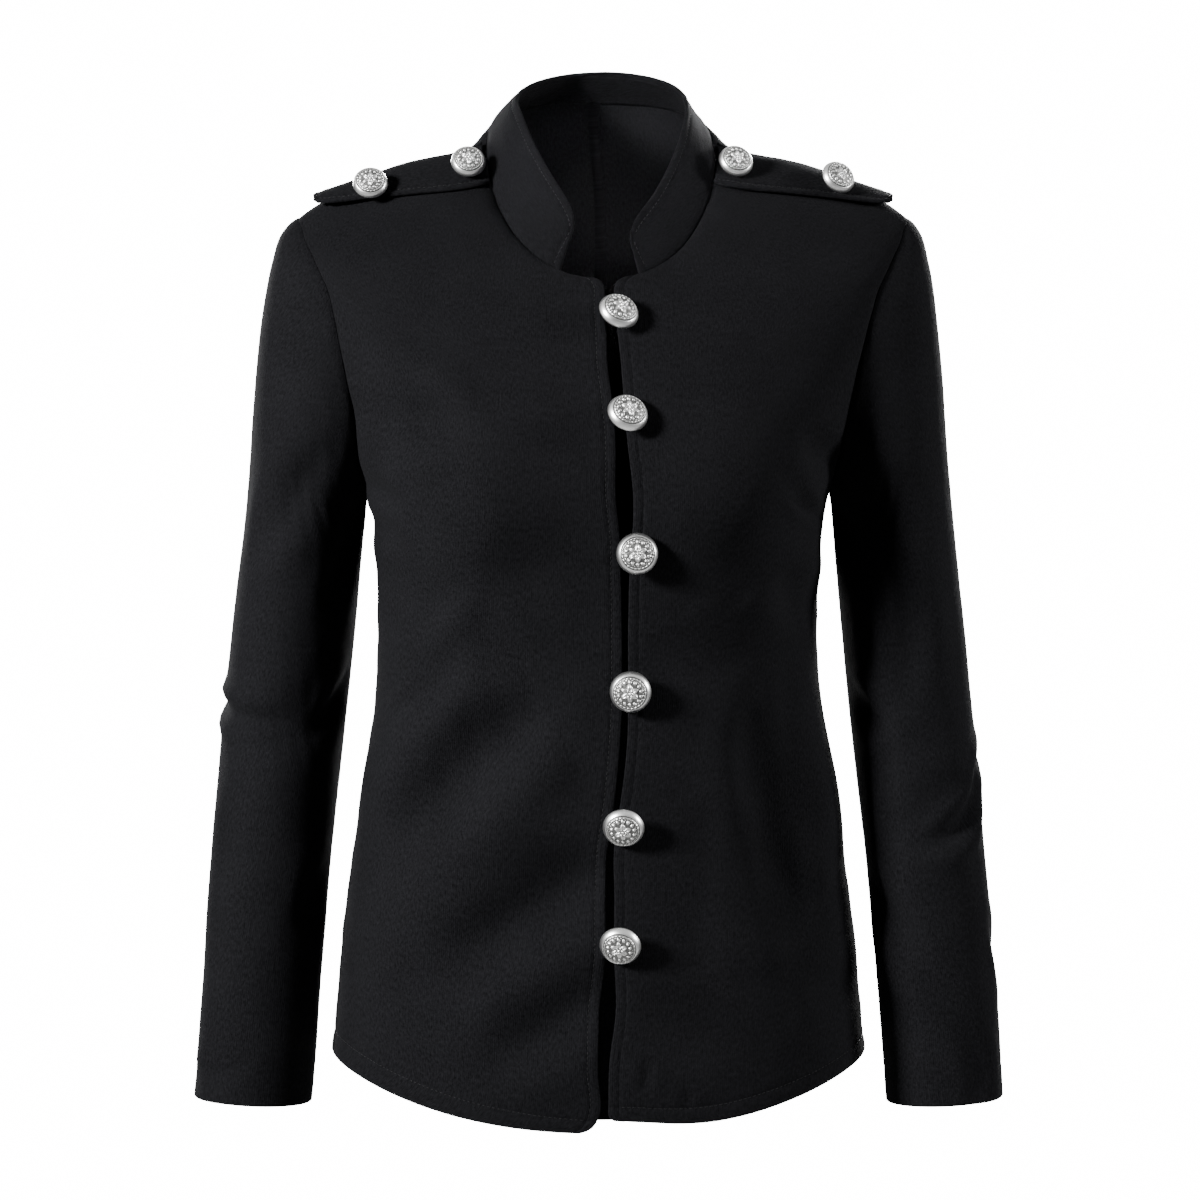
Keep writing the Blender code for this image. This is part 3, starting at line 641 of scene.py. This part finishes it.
# in millimetres
RIB_PITCH = 1.35
YARN_PITCH = 0.8
# the cloth's colour in its hollows and on its fluff
CLOTH_DARK = (0.0012, 0.0012, 0.0014)
CLOTH_LIGHT = (0.0118, 0.0118, 0.0134)


def scaled(tree, place, factors):
    """A place with each coordinate multiplied."""
    made = add(tree, "ShaderNodeVectorMath", {0: place, 1: factors})
    made.operation = "MULTIPLY"
    return made.outputs["Vector"]


def between(tree, value, low, high):
    """A value from 0 to 1 spread from low to high."""
    return add(tree, "ShaderNodeMapRange",
               {"Value": value, "To Min": low, "To Max": high}).outputs["Result"]


def waves(tree, value, pitch):
    """Waves from -1 to 1 along a value, a pitch apart."""
    return maths(tree, "SINE", maths(tree, "MULTIPLY", value, 2 * math.pi / pitch))


def blend(tree, *parts):
    """The sum of parts (value, share)."""
    total = 0.0
    for value, share in parts:
        total = maths(tree, "ADD", maths(tree, "MULTIPLY", value, share), total)
    return total


def cloth_material():
    """Black ponte-like cloth: fine ribs along the cut, crossed by uneven yarns, with a little fluff."""
    made, tree, shader = new_material("black_cloth")
    cut = add(tree, "ShaderNodeUVMap", {}).outputs["UV"]
    place = scaled(tree, cut, (1000, 1000, 1000))
    apart = add(tree, "ShaderNodeSeparateXYZ", {"Vector": place}).outputs
    wander = noise_grain(tree, {"Vector": place, "Scale": 0.04, "Detail": 2.0})
    ribs = waves(tree, blend(tree, (apart["X"], 1.0), (wander, 2.0)), RIB_PITCH)
    yarns = waves(tree, apart["Y"], YARN_PITCH)
    flecks = noise_grain(tree, {"Vector": scaled(tree, place, (0.62, 0.34, 1.0)), "Scale": 1.0,
                                "Detail": 3.0, "Roughness": 0.75})
    broad = noise_grain(tree, {"Vector": place, "Scale": 0.02, "Detail": 3.0})
    height = blend(tree, (ribs, 0.16), (flecks, 2.6), (yarns, 0.1))
    tone = blend(tree, (flecks, 1.1), (ribs, 0.03), (broad, 0.2))
    bump = add(tree, "ShaderNodeBump", {"Height": height, "Strength": 0.8, "Distance": 0.0003})
    feed(tree, shader, {
        "Base Color": ramp(tree, tone, ((0.35, CLOTH_DARK), (0.95, CLOTH_LIGHT))),
        "Roughness": between(tree, flecks, 0.8, 0.98),
        "Normal": bump.outputs["Normal"],
        "Specular IOR Level": 0.03,
        "Sheen Weight": 0.016,
        "Sheen Roughness": 0.4,
        "Sheen Tint": (0.85, 0.87, 0.92, 1),
    })
    return made


def thread_material():
    """Twisted black polyester thread, a little glossier than the cloth."""
    made, tree, shader = new_material("black_thread")
    place = add(tree, "ShaderNodeTexCoord", {}).outputs["Object"]
    twist = noise_grain(tree, {"Vector": place, "Scale": 2600.0, "Detail": 1.0})
    feed(tree, shader, {
        "Base Color": ramp(tree, twist, ((0.3, (0.004, 0.004, 0.0045)), (0.75, (0.014, 0.014, 0.015)))),
        "Roughness": 0.5,
        "Specular IOR Level": 0.15,
    })
    return made


def metal_material():
    """Silver-coloured metal, bright on its high places and dark in its hollows, with fine scratches."""
    made, tree, shader = new_material("button_metal")
    hollow = add(tree, "ShaderNodeAttribute", {})
    hollow.attribute_name = "worn"
    place = add(tree, "ShaderNodeTexCoord", {}).outputs["Object"]
    dust = noise_grain(tree, {"Vector": place, "Scale": 900.0, "Detail": 4.0, "Roughness": 0.7})
    shade = blend(tree, (hollow.outputs["Fac"], 1.0), (dust, 0.3))
    bump = add(tree, "ShaderNodeBump", {"Height": dust, "Strength": 0.25, "Distance": 0.00008})
    feed(tree, shader, {
        "Base Color": ramp(tree, shade, ((0.2, (0.05, 0.05, 0.05)), (0.55, (0.5, 0.5, 0.49)),
                                         (0.85, (0.96, 0.96, 0.95)))),
        "Metallic": 1.0,
        "Roughness": between(tree, shade, 0.55, 0.3),
        "Normal": bump.outputs["Normal"],
    })
    return made


BLACK_CLOTH = cloth_material()
THREAD = thread_material()
METAL = metal_material()

# ------------------------ fronts and backs

SEAM_OFFSETS = (0.6, 1.5, 2.7, 4.2, 6.2, 9.0)
EDGE_STITCH = 6.5
EDGE_OFFSETS = (0.7, 1.8, 3.4, 5.0, 5.9, EDGE_STITCH, 7.1, 8.2, 10.0)
HEM_STITCH = {"front_right": 15.0, "front_left": 11.0, "back_right": 14.0, "back_left": 14.0}
HEM_TURNING = 0.9 * MM
# how far a border runs on toward its neighbour, so that pieces meet at their seams
SEAM_CLOSING = 0.9 * MM
# how far from a seam the folds have reached their full depth
FOLD_FADE = 14.0


def hem_offsets(inset):
    """Rows beside a stitched hem."""
    return (0.8, 2.0, inset * 0.35, inset * 0.62, inset - 1.8, inset - 0.7, inset, inset + 0.7,
            inset + 2.0)


def eased(share):
    """0 to 1 with level ends."""
    share = np.clip(share, 0, 1)
    return share * share * (3 - 2 * share)


def body_heart(points):
    """For each point, the nearest place on the jacket's middle line that is below the shoulders."""
    return np.minimum(points * (0, 0, 1), (0, 0, -0.2))


def close_seams(points, borders_to_close):
    """Moves border rows or columns a little outward."""
    for axis, place in borders_to_close:
        lines = np.swapaxes(points, 0, axis)
        inner = 1 if place == 0 else -2
        lines[place] += unit(lines[place] - lines[inner]) * SEAM_CLOSING


def hemmed(surface, inset):
    """The thickness of a panel's cloth, with its edge turned up as far as the stitches."""
    return BODY_CLOTH + HEM_TURNING * eased((inset + 1 - surface.from_start / MM) / 1.5)


def body_panel(face, word):
    """A front or a back, from the hem up and from the front edge or the centre back outward."""
    node = face + "_" + word
    side = SIDES[word]
    grid = panel_grid(node, body_heart, BODY_CLOTH, lambda p: side * p[0] if p[2] < -0.4 else -1,
                      lambda p: -abs(p[0]))
    inset = HEM_STITCH[node]
    hem = hem_offsets(inset)
    middle = EDGE_OFFSETS if face == "front" else SEAM_OFFSETS
    surface = fine_surface(grid, (hem, SEAM_OFFSETS), (middle, SEAM_OFFSETS))
    seams = [(1, -1), (0, -1)]
    if face == "back":
        seams.append((1, 0))
    close_seams(surface.points, seams)
    turned = len(TURNING_RUN) if node == "back_left" else 0
    if turned:
        surface = turned_under(surface, body_heart, 1, 0)
    points = surface.points
    fade = eased(surface.from_last / MM / FOLD_FADE) * eased(surface.from_end / MM / FOLD_FADE)
    if face == "back":
        fade = fade * eased(surface.from_first / MM / FOLD_FADE)
    folds = sum(fold_relief(side * points[..., 0] / MM, points[..., 2] / MM, row)
                for row in BODY_FOLDS[node])
    relief = folds * fade + unevenness(points, 1)
    relief += seam_relief(surface.from_last, surface.from_start, 1.0)
    relief += seam_relief(surface.from_end, surface.from_first, 2.0)
    relief += stitched_relief(surface.from_start, surface.from_first, inset, 3.0)
    if face == "front":
        relief += stitched_relief(surface.from_first, surface.from_start, EDGE_STITCH, 4.0 + side)
    else:
        relief += seam_relief(surface.from_first, surface.from_start, 5.0)
    thickness = hemmed(surface, inset)
    outer, normals = cloth_wall(node, surface, relief, thickness, body_heart, seams=seams)
    row = hem.index(inset) + 1
    start = EDGE_OFFSETS.index(EDGE_STITCH) + 1 if face == "front" else turned
    lines = [np.s_[row, start:]]
    if node == "front_right":
        lines.append(np.s_[row:-2, start])
    stitches(node, outer, normals, *lines)


# ------------------------ sleeves

CUFF_STITCH = 22.0


def sleeve(word):
    """A set-in sleeve, from the cuff up, round from the side at the body by the front."""
    node = "sleeve_" + word
    side = SIDES[word]
    hem = hem_offsets(CUFF_STITCH)
    surface = fine_surface(sleeve_grid(node, side), (hem, SEAM_OFFSETS), closed=True)
    close_seams(surface.points, [(0, -1)])
    surface = turned_under(surface, ring_middles, 0, -1)
    points = surface.points
    round_length = np.median(surface.from_first[:, -1]) / MM
    share = surface.from_first / (surface.from_first[:, -1:] + 1e-9)
    folds = sum(fold_relief(share * round_length, points[..., 2] / MM, row, round_length)
                for row in SLEEVE_FOLDS[word])
    join = eased(share / 0.03) * eased((1 - share) / 0.03)
    relief = folds * eased(surface.from_end / MM / FOLD_FADE) * join + unevenness(points, 1)
    relief += seam_relief(surface.from_end, surface.from_first, 6.0)
    relief += 0.4 * stitched_relief(surface.from_start, surface.from_first, CUFF_STITCH, 7.0)
    thickness = hemmed(surface, CUFF_STITCH)
    cloth_wall(node, surface, relief, thickness, ring_middles, seams=[(0, -1)])


# ------------------------ collar and straps

COLLAR_STITCH = 5.0
COLLAR_ROUND = 17.0
STRAP_STITCH = 4.5


def stitch_offsets(inset):
    """Rows or columns beside a stitch line near an edge."""
    return (0.7, 1.8, inset * 0.7, inset - 0.7, inset, inset + 0.7, inset + 1.9, inset + 4.0)


def collar_heart(points):
    """For each point, the place on the neck's middle line at its height."""
    return points * (0, 0, 1) + (0, -0.01, 0)


def collar():
    """The standing band, from its right end round the back, and from its top edge down."""
    grid = panel_grid("collar", collar_heart, COLLAR_CLOTH, lambda p: -p[2] if p[0] < 0 else -9,
                      lambda p: p[2])
    ends = stitch_offsets(COLLAR_STITCH)
    surface = fine_surface(grid, (ends, ends), (ends, SEAM_OFFSETS), step=SMALL_STEP)
    rounded_corners(surface, COLLAR_ROUND, ((0, 0), (-1, 0)))
    relief = unevenness(surface.points, 2, 0.5, 0.12)
    relief += stitched_relief(surface.from_first, surface.from_start, COLLAR_STITCH, 1.0)
    relief += stitched_relief(surface.from_start, surface.from_first, COLLAR_STITCH, 2.0)
    relief += stitched_relief(surface.from_end, surface.from_first, COLLAR_STITCH, 3.0)
    relief += seam_relief(surface.from_last, surface.from_start, 4.0)
    close_seams(surface.points, [(1, -1)])
    outer, normals = cloth_wall("collar", surface, relief, COLLAR_CLOTH, collar_heart, seams=[(1, -1)])
    at = ends.index(COLLAR_STITCH) + 1
    stitches("collar", outer, normals,
             np.s_[at:-at - 1, at], np.s_[at, at:-1], np.s_[-at - 1, at:-1])


def strap(word):
    """A shoulder strap, from the collar outward and from its back edge to its front one."""
    node = "strap_" + word
    side = SIDES[word]

    def heart(points):
        return 0 * points + (side * 0.08, 0, -0.3)

    grid = panel_grid(node, heart, STRAP_CLOTH, lambda p: -side * p[0] - p[1], lambda p: -side * p[0])
    edges = stitch_offsets(STRAP_STITCH)
    surface = fine_surface(grid, ((0.7, 1.8), edges), (edges, edges), step=SMALL_STEP)
    relief = unevenness(surface.points, 3, 0.4, 0.12)
    for away, along in ((surface.from_first, surface.from_start), (surface.from_last, surface.from_start),
                        (surface.from_end, surface.from_first)):
        relief += stitched_relief(away, along, STRAP_STITCH, 1.0 + side)
    outer, normals = cloth_wall(node, surface, relief, STRAP_CLOTH, heart, STRAP_CORNER)
    at = edges.index(STRAP_STITCH) + 1
    stitches(node, outer, normals,
             np.s_[1:-at, at], np.s_[1:-at, -at - 1], np.s_[-at - 1, at:-at])


# ------------------------ buttons

# Half the outline of a button, reach and height as shares of its diameter: its dome from the top down,
# and its back with the shank
BUTTON_OUTLINE = np.array(((0, 0.29), (0.09, 0.2875), (0.18, 0.28), (0.26, 0.264), (0.33, 0.24),
                           (0.39, 0.207), (0.44, 0.165), (0.475, 0.115), (0.498, 0.06)))
BUTTON_BACK = ((0.5, 0.03), (0.485, 0.002), (0.40, -0.008), (0.13, -0.012), (0.10, -0.04),
               (0.09, -0.12), (0.09, -0.23))
DOME_STEPS = 56
BUTTON_STEPS = 168
# the ornament's lines and sizes, as shares of the button's radius
RIM_LINE = 0.80
ROPE_LINE = 0.745
ROPE_HALF = 0.036
ROPE_STRANDS = 26
LEAVES = 14
LEAF_LINE = 0.575
BERRY_LINE = 0.655
PETALS = 6
# how far the ornament stands up, as shares of the diameter
RELIEF_GAIN = 1.35
BOSS_HEIGHT = 0.038
# how worn bright the metal is in the ornament's ground, with its height, and on the button's other parts
WORN_GROUND = 0.18
WORN_GROWTH = 0.6 / 0.035
WORN_RIM = 0.72
WORN_BACK = 0.4
WORN_TOP = 0.9
WORN_FOOT = 0.3


def humped(square):
    """A rounded hump, 1 at its middle and 0 where the square of the share reached is 1."""
    return np.sqrt(np.clip(1 - square, 0, 1))


def leaf_ring(reach, turn, count, line, lean, half_length, half_width, shift=0.0):
    """Pointed leaves round a circle, each leaning off its radius."""
    cell = ((turn / (2 * math.pi) * count + shift) % 1 - 0.5) * 2 * math.pi / count
    aside = cell * reach
    out = reach - line
    along = out * math.cos(lean) + aside * math.sin(lean)
    across = aside * math.cos(lean) - out * math.sin(lean)
    narrow = half_width * (1 - 0.45 * np.clip(along / half_length, -1, 1))
    body = humped((along / half_length) ** 2 + (across / narrow) ** 2)
    vein = 0.4 * np.exp(-(across / (0.16 * half_width)) ** 2) * (body > 0.25)
    return np.clip(body - vein, 0, 1)


def button_relief(reach, turn):
    """Height of the ornament on a dome, as shares of the diameter: a corded ring, leaves, a rosette."""
    rope = humped(((reach - ROPE_LINE) / ROPE_HALF) ** 2)
    rope = rope * (0.62 + 0.38 * np.cos(turn * ROPE_STRANDS + (reach - ROPE_LINE) * 60))
    leaves = leaf_ring(reach, turn, LEAVES, LEAF_LINE, math.radians(32), 0.11, 0.068)
    berries = leaf_ring(reach, turn, LEAVES, BERRY_LINE, 0.0, 0.03, 0.036, 0.5)
    petals = leaf_ring(reach, turn, PETALS, 0.30, 0.0, 0.16, 0.135)
    inner = leaf_ring(reach, turn, PETALS, 0.17, 0.0, 0.085, 0.06, 0.5)
    boss = humped((reach / 0.085) ** 2)
    groove = np.exp(-((reach - RIM_LINE) / 0.014) ** 2)
    rim = eased((reach - RIM_LINE) / 0.03) * eased((0.985 - reach) / 0.03)
    within = (reach < ROPE_LINE - ROPE_HALF) * (reach > 0.1)
    ground = np.sin(turn * 45) * np.sin(reach * 120) * within
    ornament = np.maximum.reduce((0.024 * rope, 0.026 * leaves, 0.02 * berries, 0.026 * petals,
                                  0.032 * inner, BOSS_HEIGHT * boss))
    return RELIEF_GAIN * ornament + 0.006 * rim - 0.012 * groove + 0.003 * ground * (ornament < 0.004)


def button_mesh(name, diameter):
    """A domed shank button about its axis, +Z out of its face."""
    dome = through(BUTTON_OUTLINE, np.linspace(0, runs_along(BUTTON_OUTLINE)[-1], DOME_STEPS))
    outline = np.concatenate((dome[1:], BUTTON_BACK)) * diameter
    turn = np.linspace(0, 2 * math.pi, BUTTON_STEPS, endpoint=False)
    reach, turns = np.meshgrid(outline[:, 0] / diameter * 2, turn, indexing="ij")
    relief = button_relief(reach, turns)
    relief[len(dome) - 1:] = 0
    x = outline[:, :1] * np.cos(turn)
    y = outline[:, :1] * np.sin(turn)
    z = outline[:, 1:] + relief * diameter
    top = (0, 0, (dome[0, 1] + RELIEF_GAIN * BOSS_HEIGHT) * diameter)
    foot = (0, 0, BUTTON_BACK[-1][1] * diameter)
    points = np.concatenate((np.stack((x, y, z), axis=-1).reshape(-1, 3), (top, foot)))
    index = np.arange(len(outline) * BUTTON_STEPS).reshape(len(outline), BUTTON_STEPS)
    index = np.concatenate((index, index[:, :1]), axis=1)
    quads = np.stack((index[:-1, :-1], index[1:, :-1], index[1:, 1:], index[:-1, 1:]), axis=-1)
    caps = [(len(points) - 2, a, b) for a, b in zip(index[0, :-1], index[0, 1:])]
    caps += [(len(points) - 1, b, a) for a, b in zip(index[-1, :-1], index[-1, 1:])]
    mesh = bpy.data.meshes.new(name)
    faces = quads.reshape(-1, 4).tolist() + [tuple(int(p) for p in cap) for cap in caps]
    mesh.from_pydata(points, [], faces)
    worn = WORN_GROUND + relief * WORN_GROWTH
    worn[reach > RIM_LINE + 0.02] = WORN_RIM
    worn[len(dome) - 1:] = WORN_BACK
    layer = mesh.attributes.new("worn", "FLOAT", "POINT")
    worn = np.concatenate((worn.reshape(-1), (WORN_TOP, WORN_FOOT)))
    layer.data.foreach_set("value", worn.astype(np.float32))
    mesh.shade_smooth()
    return turned_out(mesh)


def button_place(node):
    """Where a packed button stands: the middle of its rim, its axis out of its face, and its diameter."""
    points, _ = node_mesh(node)
    middle = points.mean(axis=0)
    axis = np.linalg.svd(points - middle)[2][-1]
    along = (points - middle) @ axis
    at_top = np.sum(along > along.max() - 0.05 * MM)
    at_foot = np.sum(along < along.min() + 0.05 * MM)
    if at_top > at_foot:
        axis, along = -axis, -along
    span = along.max() - along.min()
    diameter = span / (BUTTON_OUTLINE[0][1] - BUTTON_BACK[-1][1])
    return middle + axis * (along.max() - BUTTON_OUTLINE[0][1] * diameter), axis, diameter


def buttons():
    """Every button, in place of its node."""
    shared = {}
    for node in sorted(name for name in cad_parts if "_button_" in name):
        middle, axis, diameter = button_place(node)
        size = round(diameter / MM, 1)
        if size not in shared:
            shared[size] = button_mesh("button_%g" % size, size * MM)
            shared[size].materials.append(METAL)
        made = bpy.data.objects.new("shown_" + node, shared[size])
        bpy.context.scene.collection.objects.link(made)
        made.rotation_mode = "QUATERNION"
        made.rotation_quaternion = Vector(axis).to_track_quat("Z", "Y")
        made.location = middle
        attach(made, BODY)
        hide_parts(node)


# ------------------------ cuts

# What each piece was cut to, in metres: its widest width, length and flat area, and what holds it.
Cut = namedtuple("Cut", "width length area held_by")
CUTS = {
    "front_right": Cut(0.265, 0.690, 0.150, ("back_right", "collar")),
    "front_left": Cut(0.245, 0.690, 0.137, ("back_left", "collar")),
    "back_right": Cut(0.255, 0.700, 0.155, ("collar",)),
    "back_left": Cut(0.255, 0.700, 0.155, ("collar",)),
    "sleeve_right": Cut(0.330, 0.640, 0.160, ("front_right", "back_right")),
    "sleeve_left": Cut(0.330, 0.640, 0.160, ("front_left", "back_left")),
    "collar": Cut(0.420, 0.065, 0.0185, ("back_right", "back_left")),
    "strap_right": Cut(0.050, 0.135, 0.0058, ("front_right", "back_right")),
    "strap_left": Cut(0.050, 0.135, 0.0058, ("front_left", "back_left")),
}


def declare_cut(node):
    """Looks up a piece's cut and its cloth object, and sets nothing on them."""
    cut = CUTS[node]
    bpy.data.objects["cloth_" + node]


# ------------------------ camera, light, floor


def look_from(place, aim):
    """The turn that looks from one point at another with +Z up."""
    return (Vector(aim) - Vector(place)).to_track_quat("-Z", "Y").to_euler()


def camera():
    """The photo's view: 1200 x 1200, VIEW_WIDTH across at the jacket's middle."""
    lens = bpy.data.cameras.new("camera")
    lens.sensor_width = SENSOR
    away = abs(CAMERA_PLACE.y)
    tilt = math.atan2(CAMERA_PLACE.z - CAMERA_AIM.z, away)
    lens.lens = SENSOR * away / (VIEW_WIDTH * math.cos(tilt))
    seen = bpy.data.objects.new("camera", lens)
    seen.location = CAMERA_PLACE
    seen.rotation_euler = look_from(CAMERA_PLACE, CAMERA_AIM)
    bpy.context.scene.collection.objects.link(seen)
    bpy.context.scene.camera = seen


# name, place, aim, size, power, spread in degrees
LIGHTS = (
    ("key", (-2.4, -1.81, 0.79), (0, 0, -0.35), 0.6, 19.5, 45),
    ("side", (3.05, -0.43, 0.58), (0, 0, -0.35), 0.8, 8, 45),
    ("back_left", (1.1, 2.9, 0.9), (0, 0, -0.3), 0.9, 15, 45),
    ("back_right", (-1.5, 2.8, 0.4), (0, 0, -0.3), 0.9, 7, 45),
    ("neck", (0.05, -1.6, 0.45), (0.01, 0.05, -0.015), 0.08, 0.07, 6),
)


def area_light(name, place, aim, size, power, spread):
    """A soft square light, narrowed to a cone as by a grid before it."""
    made = bpy.data.lights.new(name, "AREA")
    made.size = size
    made.energy = power
    made.spread = math.radians(spread)
    light = bpy.data.objects.new(name, made)
    light.location = place
    light.rotation_euler = look_from(place, aim)
    bpy.context.scene.collection.objects.link(light)


# the room, as the metal mirrors it, as it lights the cloth and as the eye sees it
WHITE = (1, 1, 1, 1)
SKY_BRIGHT = (0.6, 0.6, 0.6)
SKY_DARK = (0.08, 0.08, 0.08)
ROOM_LIGHT = 0.015
BACKDROP_LIGHT = 16.0


def surroundings():
    """A white room to the eye and in the metal, which lights the black cloth only dimly."""
    world = bpy.data.worlds.new("studio")
    world.use_nodes = True
    tree = world.node_tree
    away = add(tree, "ShaderNodeTexCoord", {}).outputs["Generated"]
    up = add(tree, "ShaderNodeSeparateXYZ", {"Vector": away}).outputs["Z"]
    sky = ramp(tree, maths(tree, "MULTIPLY_ADD", up, 0.5),
               ((0.15, SKY_BRIGHT), (0.45, SKY_DARK), (0.85, SKY_BRIGHT)))
    dim, mirrored, seen = (
        add(tree, "ShaderNodeBackground", {"Color": colour, "Strength": strength}).outputs[0]
        for colour, strength in ((WHITE, ROOM_LIGHT), (sky, 1.0), (WHITE, BACKDROP_LIGHT)))
    ray = add(tree, "ShaderNodeLightPath", {}).outputs
    lit = add(tree, "ShaderNodeMixShader", {"Fac": ray["Is Glossy Ray"], 1: dim, 2: mirrored})
    both = add(tree, "ShaderNodeMixShader", {"Fac": ray["Is Camera Ray"], 1: lit.outputs[0], 2: seen})
    tree.links.new(both.outputs[0], tree.nodes["World Output"].inputs["Surface"])
    bpy.context.scene.world = world


FLOOR_HEIGHT = -1.45
FLOOR_RADIUS = 1.8


def floor():
    """A plain pale floor where a wearer would stand."""
    made = bpy.data.objects.new("floor", bpy.data.meshes.new("floor"))
    mesh = bmesh.new()
    bmesh.ops.create_circle(mesh, cap_ends=True, segments=96, radius=FLOOR_RADIUS)
    mesh.to_mesh(made.data)
    mesh.free()
    made.location = (0, 0, FLOOR_HEIGHT)
    pale, tree, shader = new_material("pale_floor")
    grain = noise_grain(tree, {"Scale": 40.0, "Detail": 3.0})
    feed(tree, shader, {
        "Base Color": ramp(tree, grain, ((0.3, (0.56, 0.56, 0.55)), (0.7, (0.62, 0.62, 0.61)))),
        "Roughness": 0.85,
        "Emission Color": WHITE,
        "Emission Strength": 0.35,
    })
    made.data.materials.append(pale)
    bpy.context.scene.collection.objects.link(made)


for word in SIDES:
    for face in ("front", "back"):
        body_panel(face, word)
    sleeve(word)
    strap(word)
collar()
for node in CUTS:
    declare_cut(node)
buttons()

camera()
for light in LIGHTS:
    area_light(*light)
surroundings()
floor()
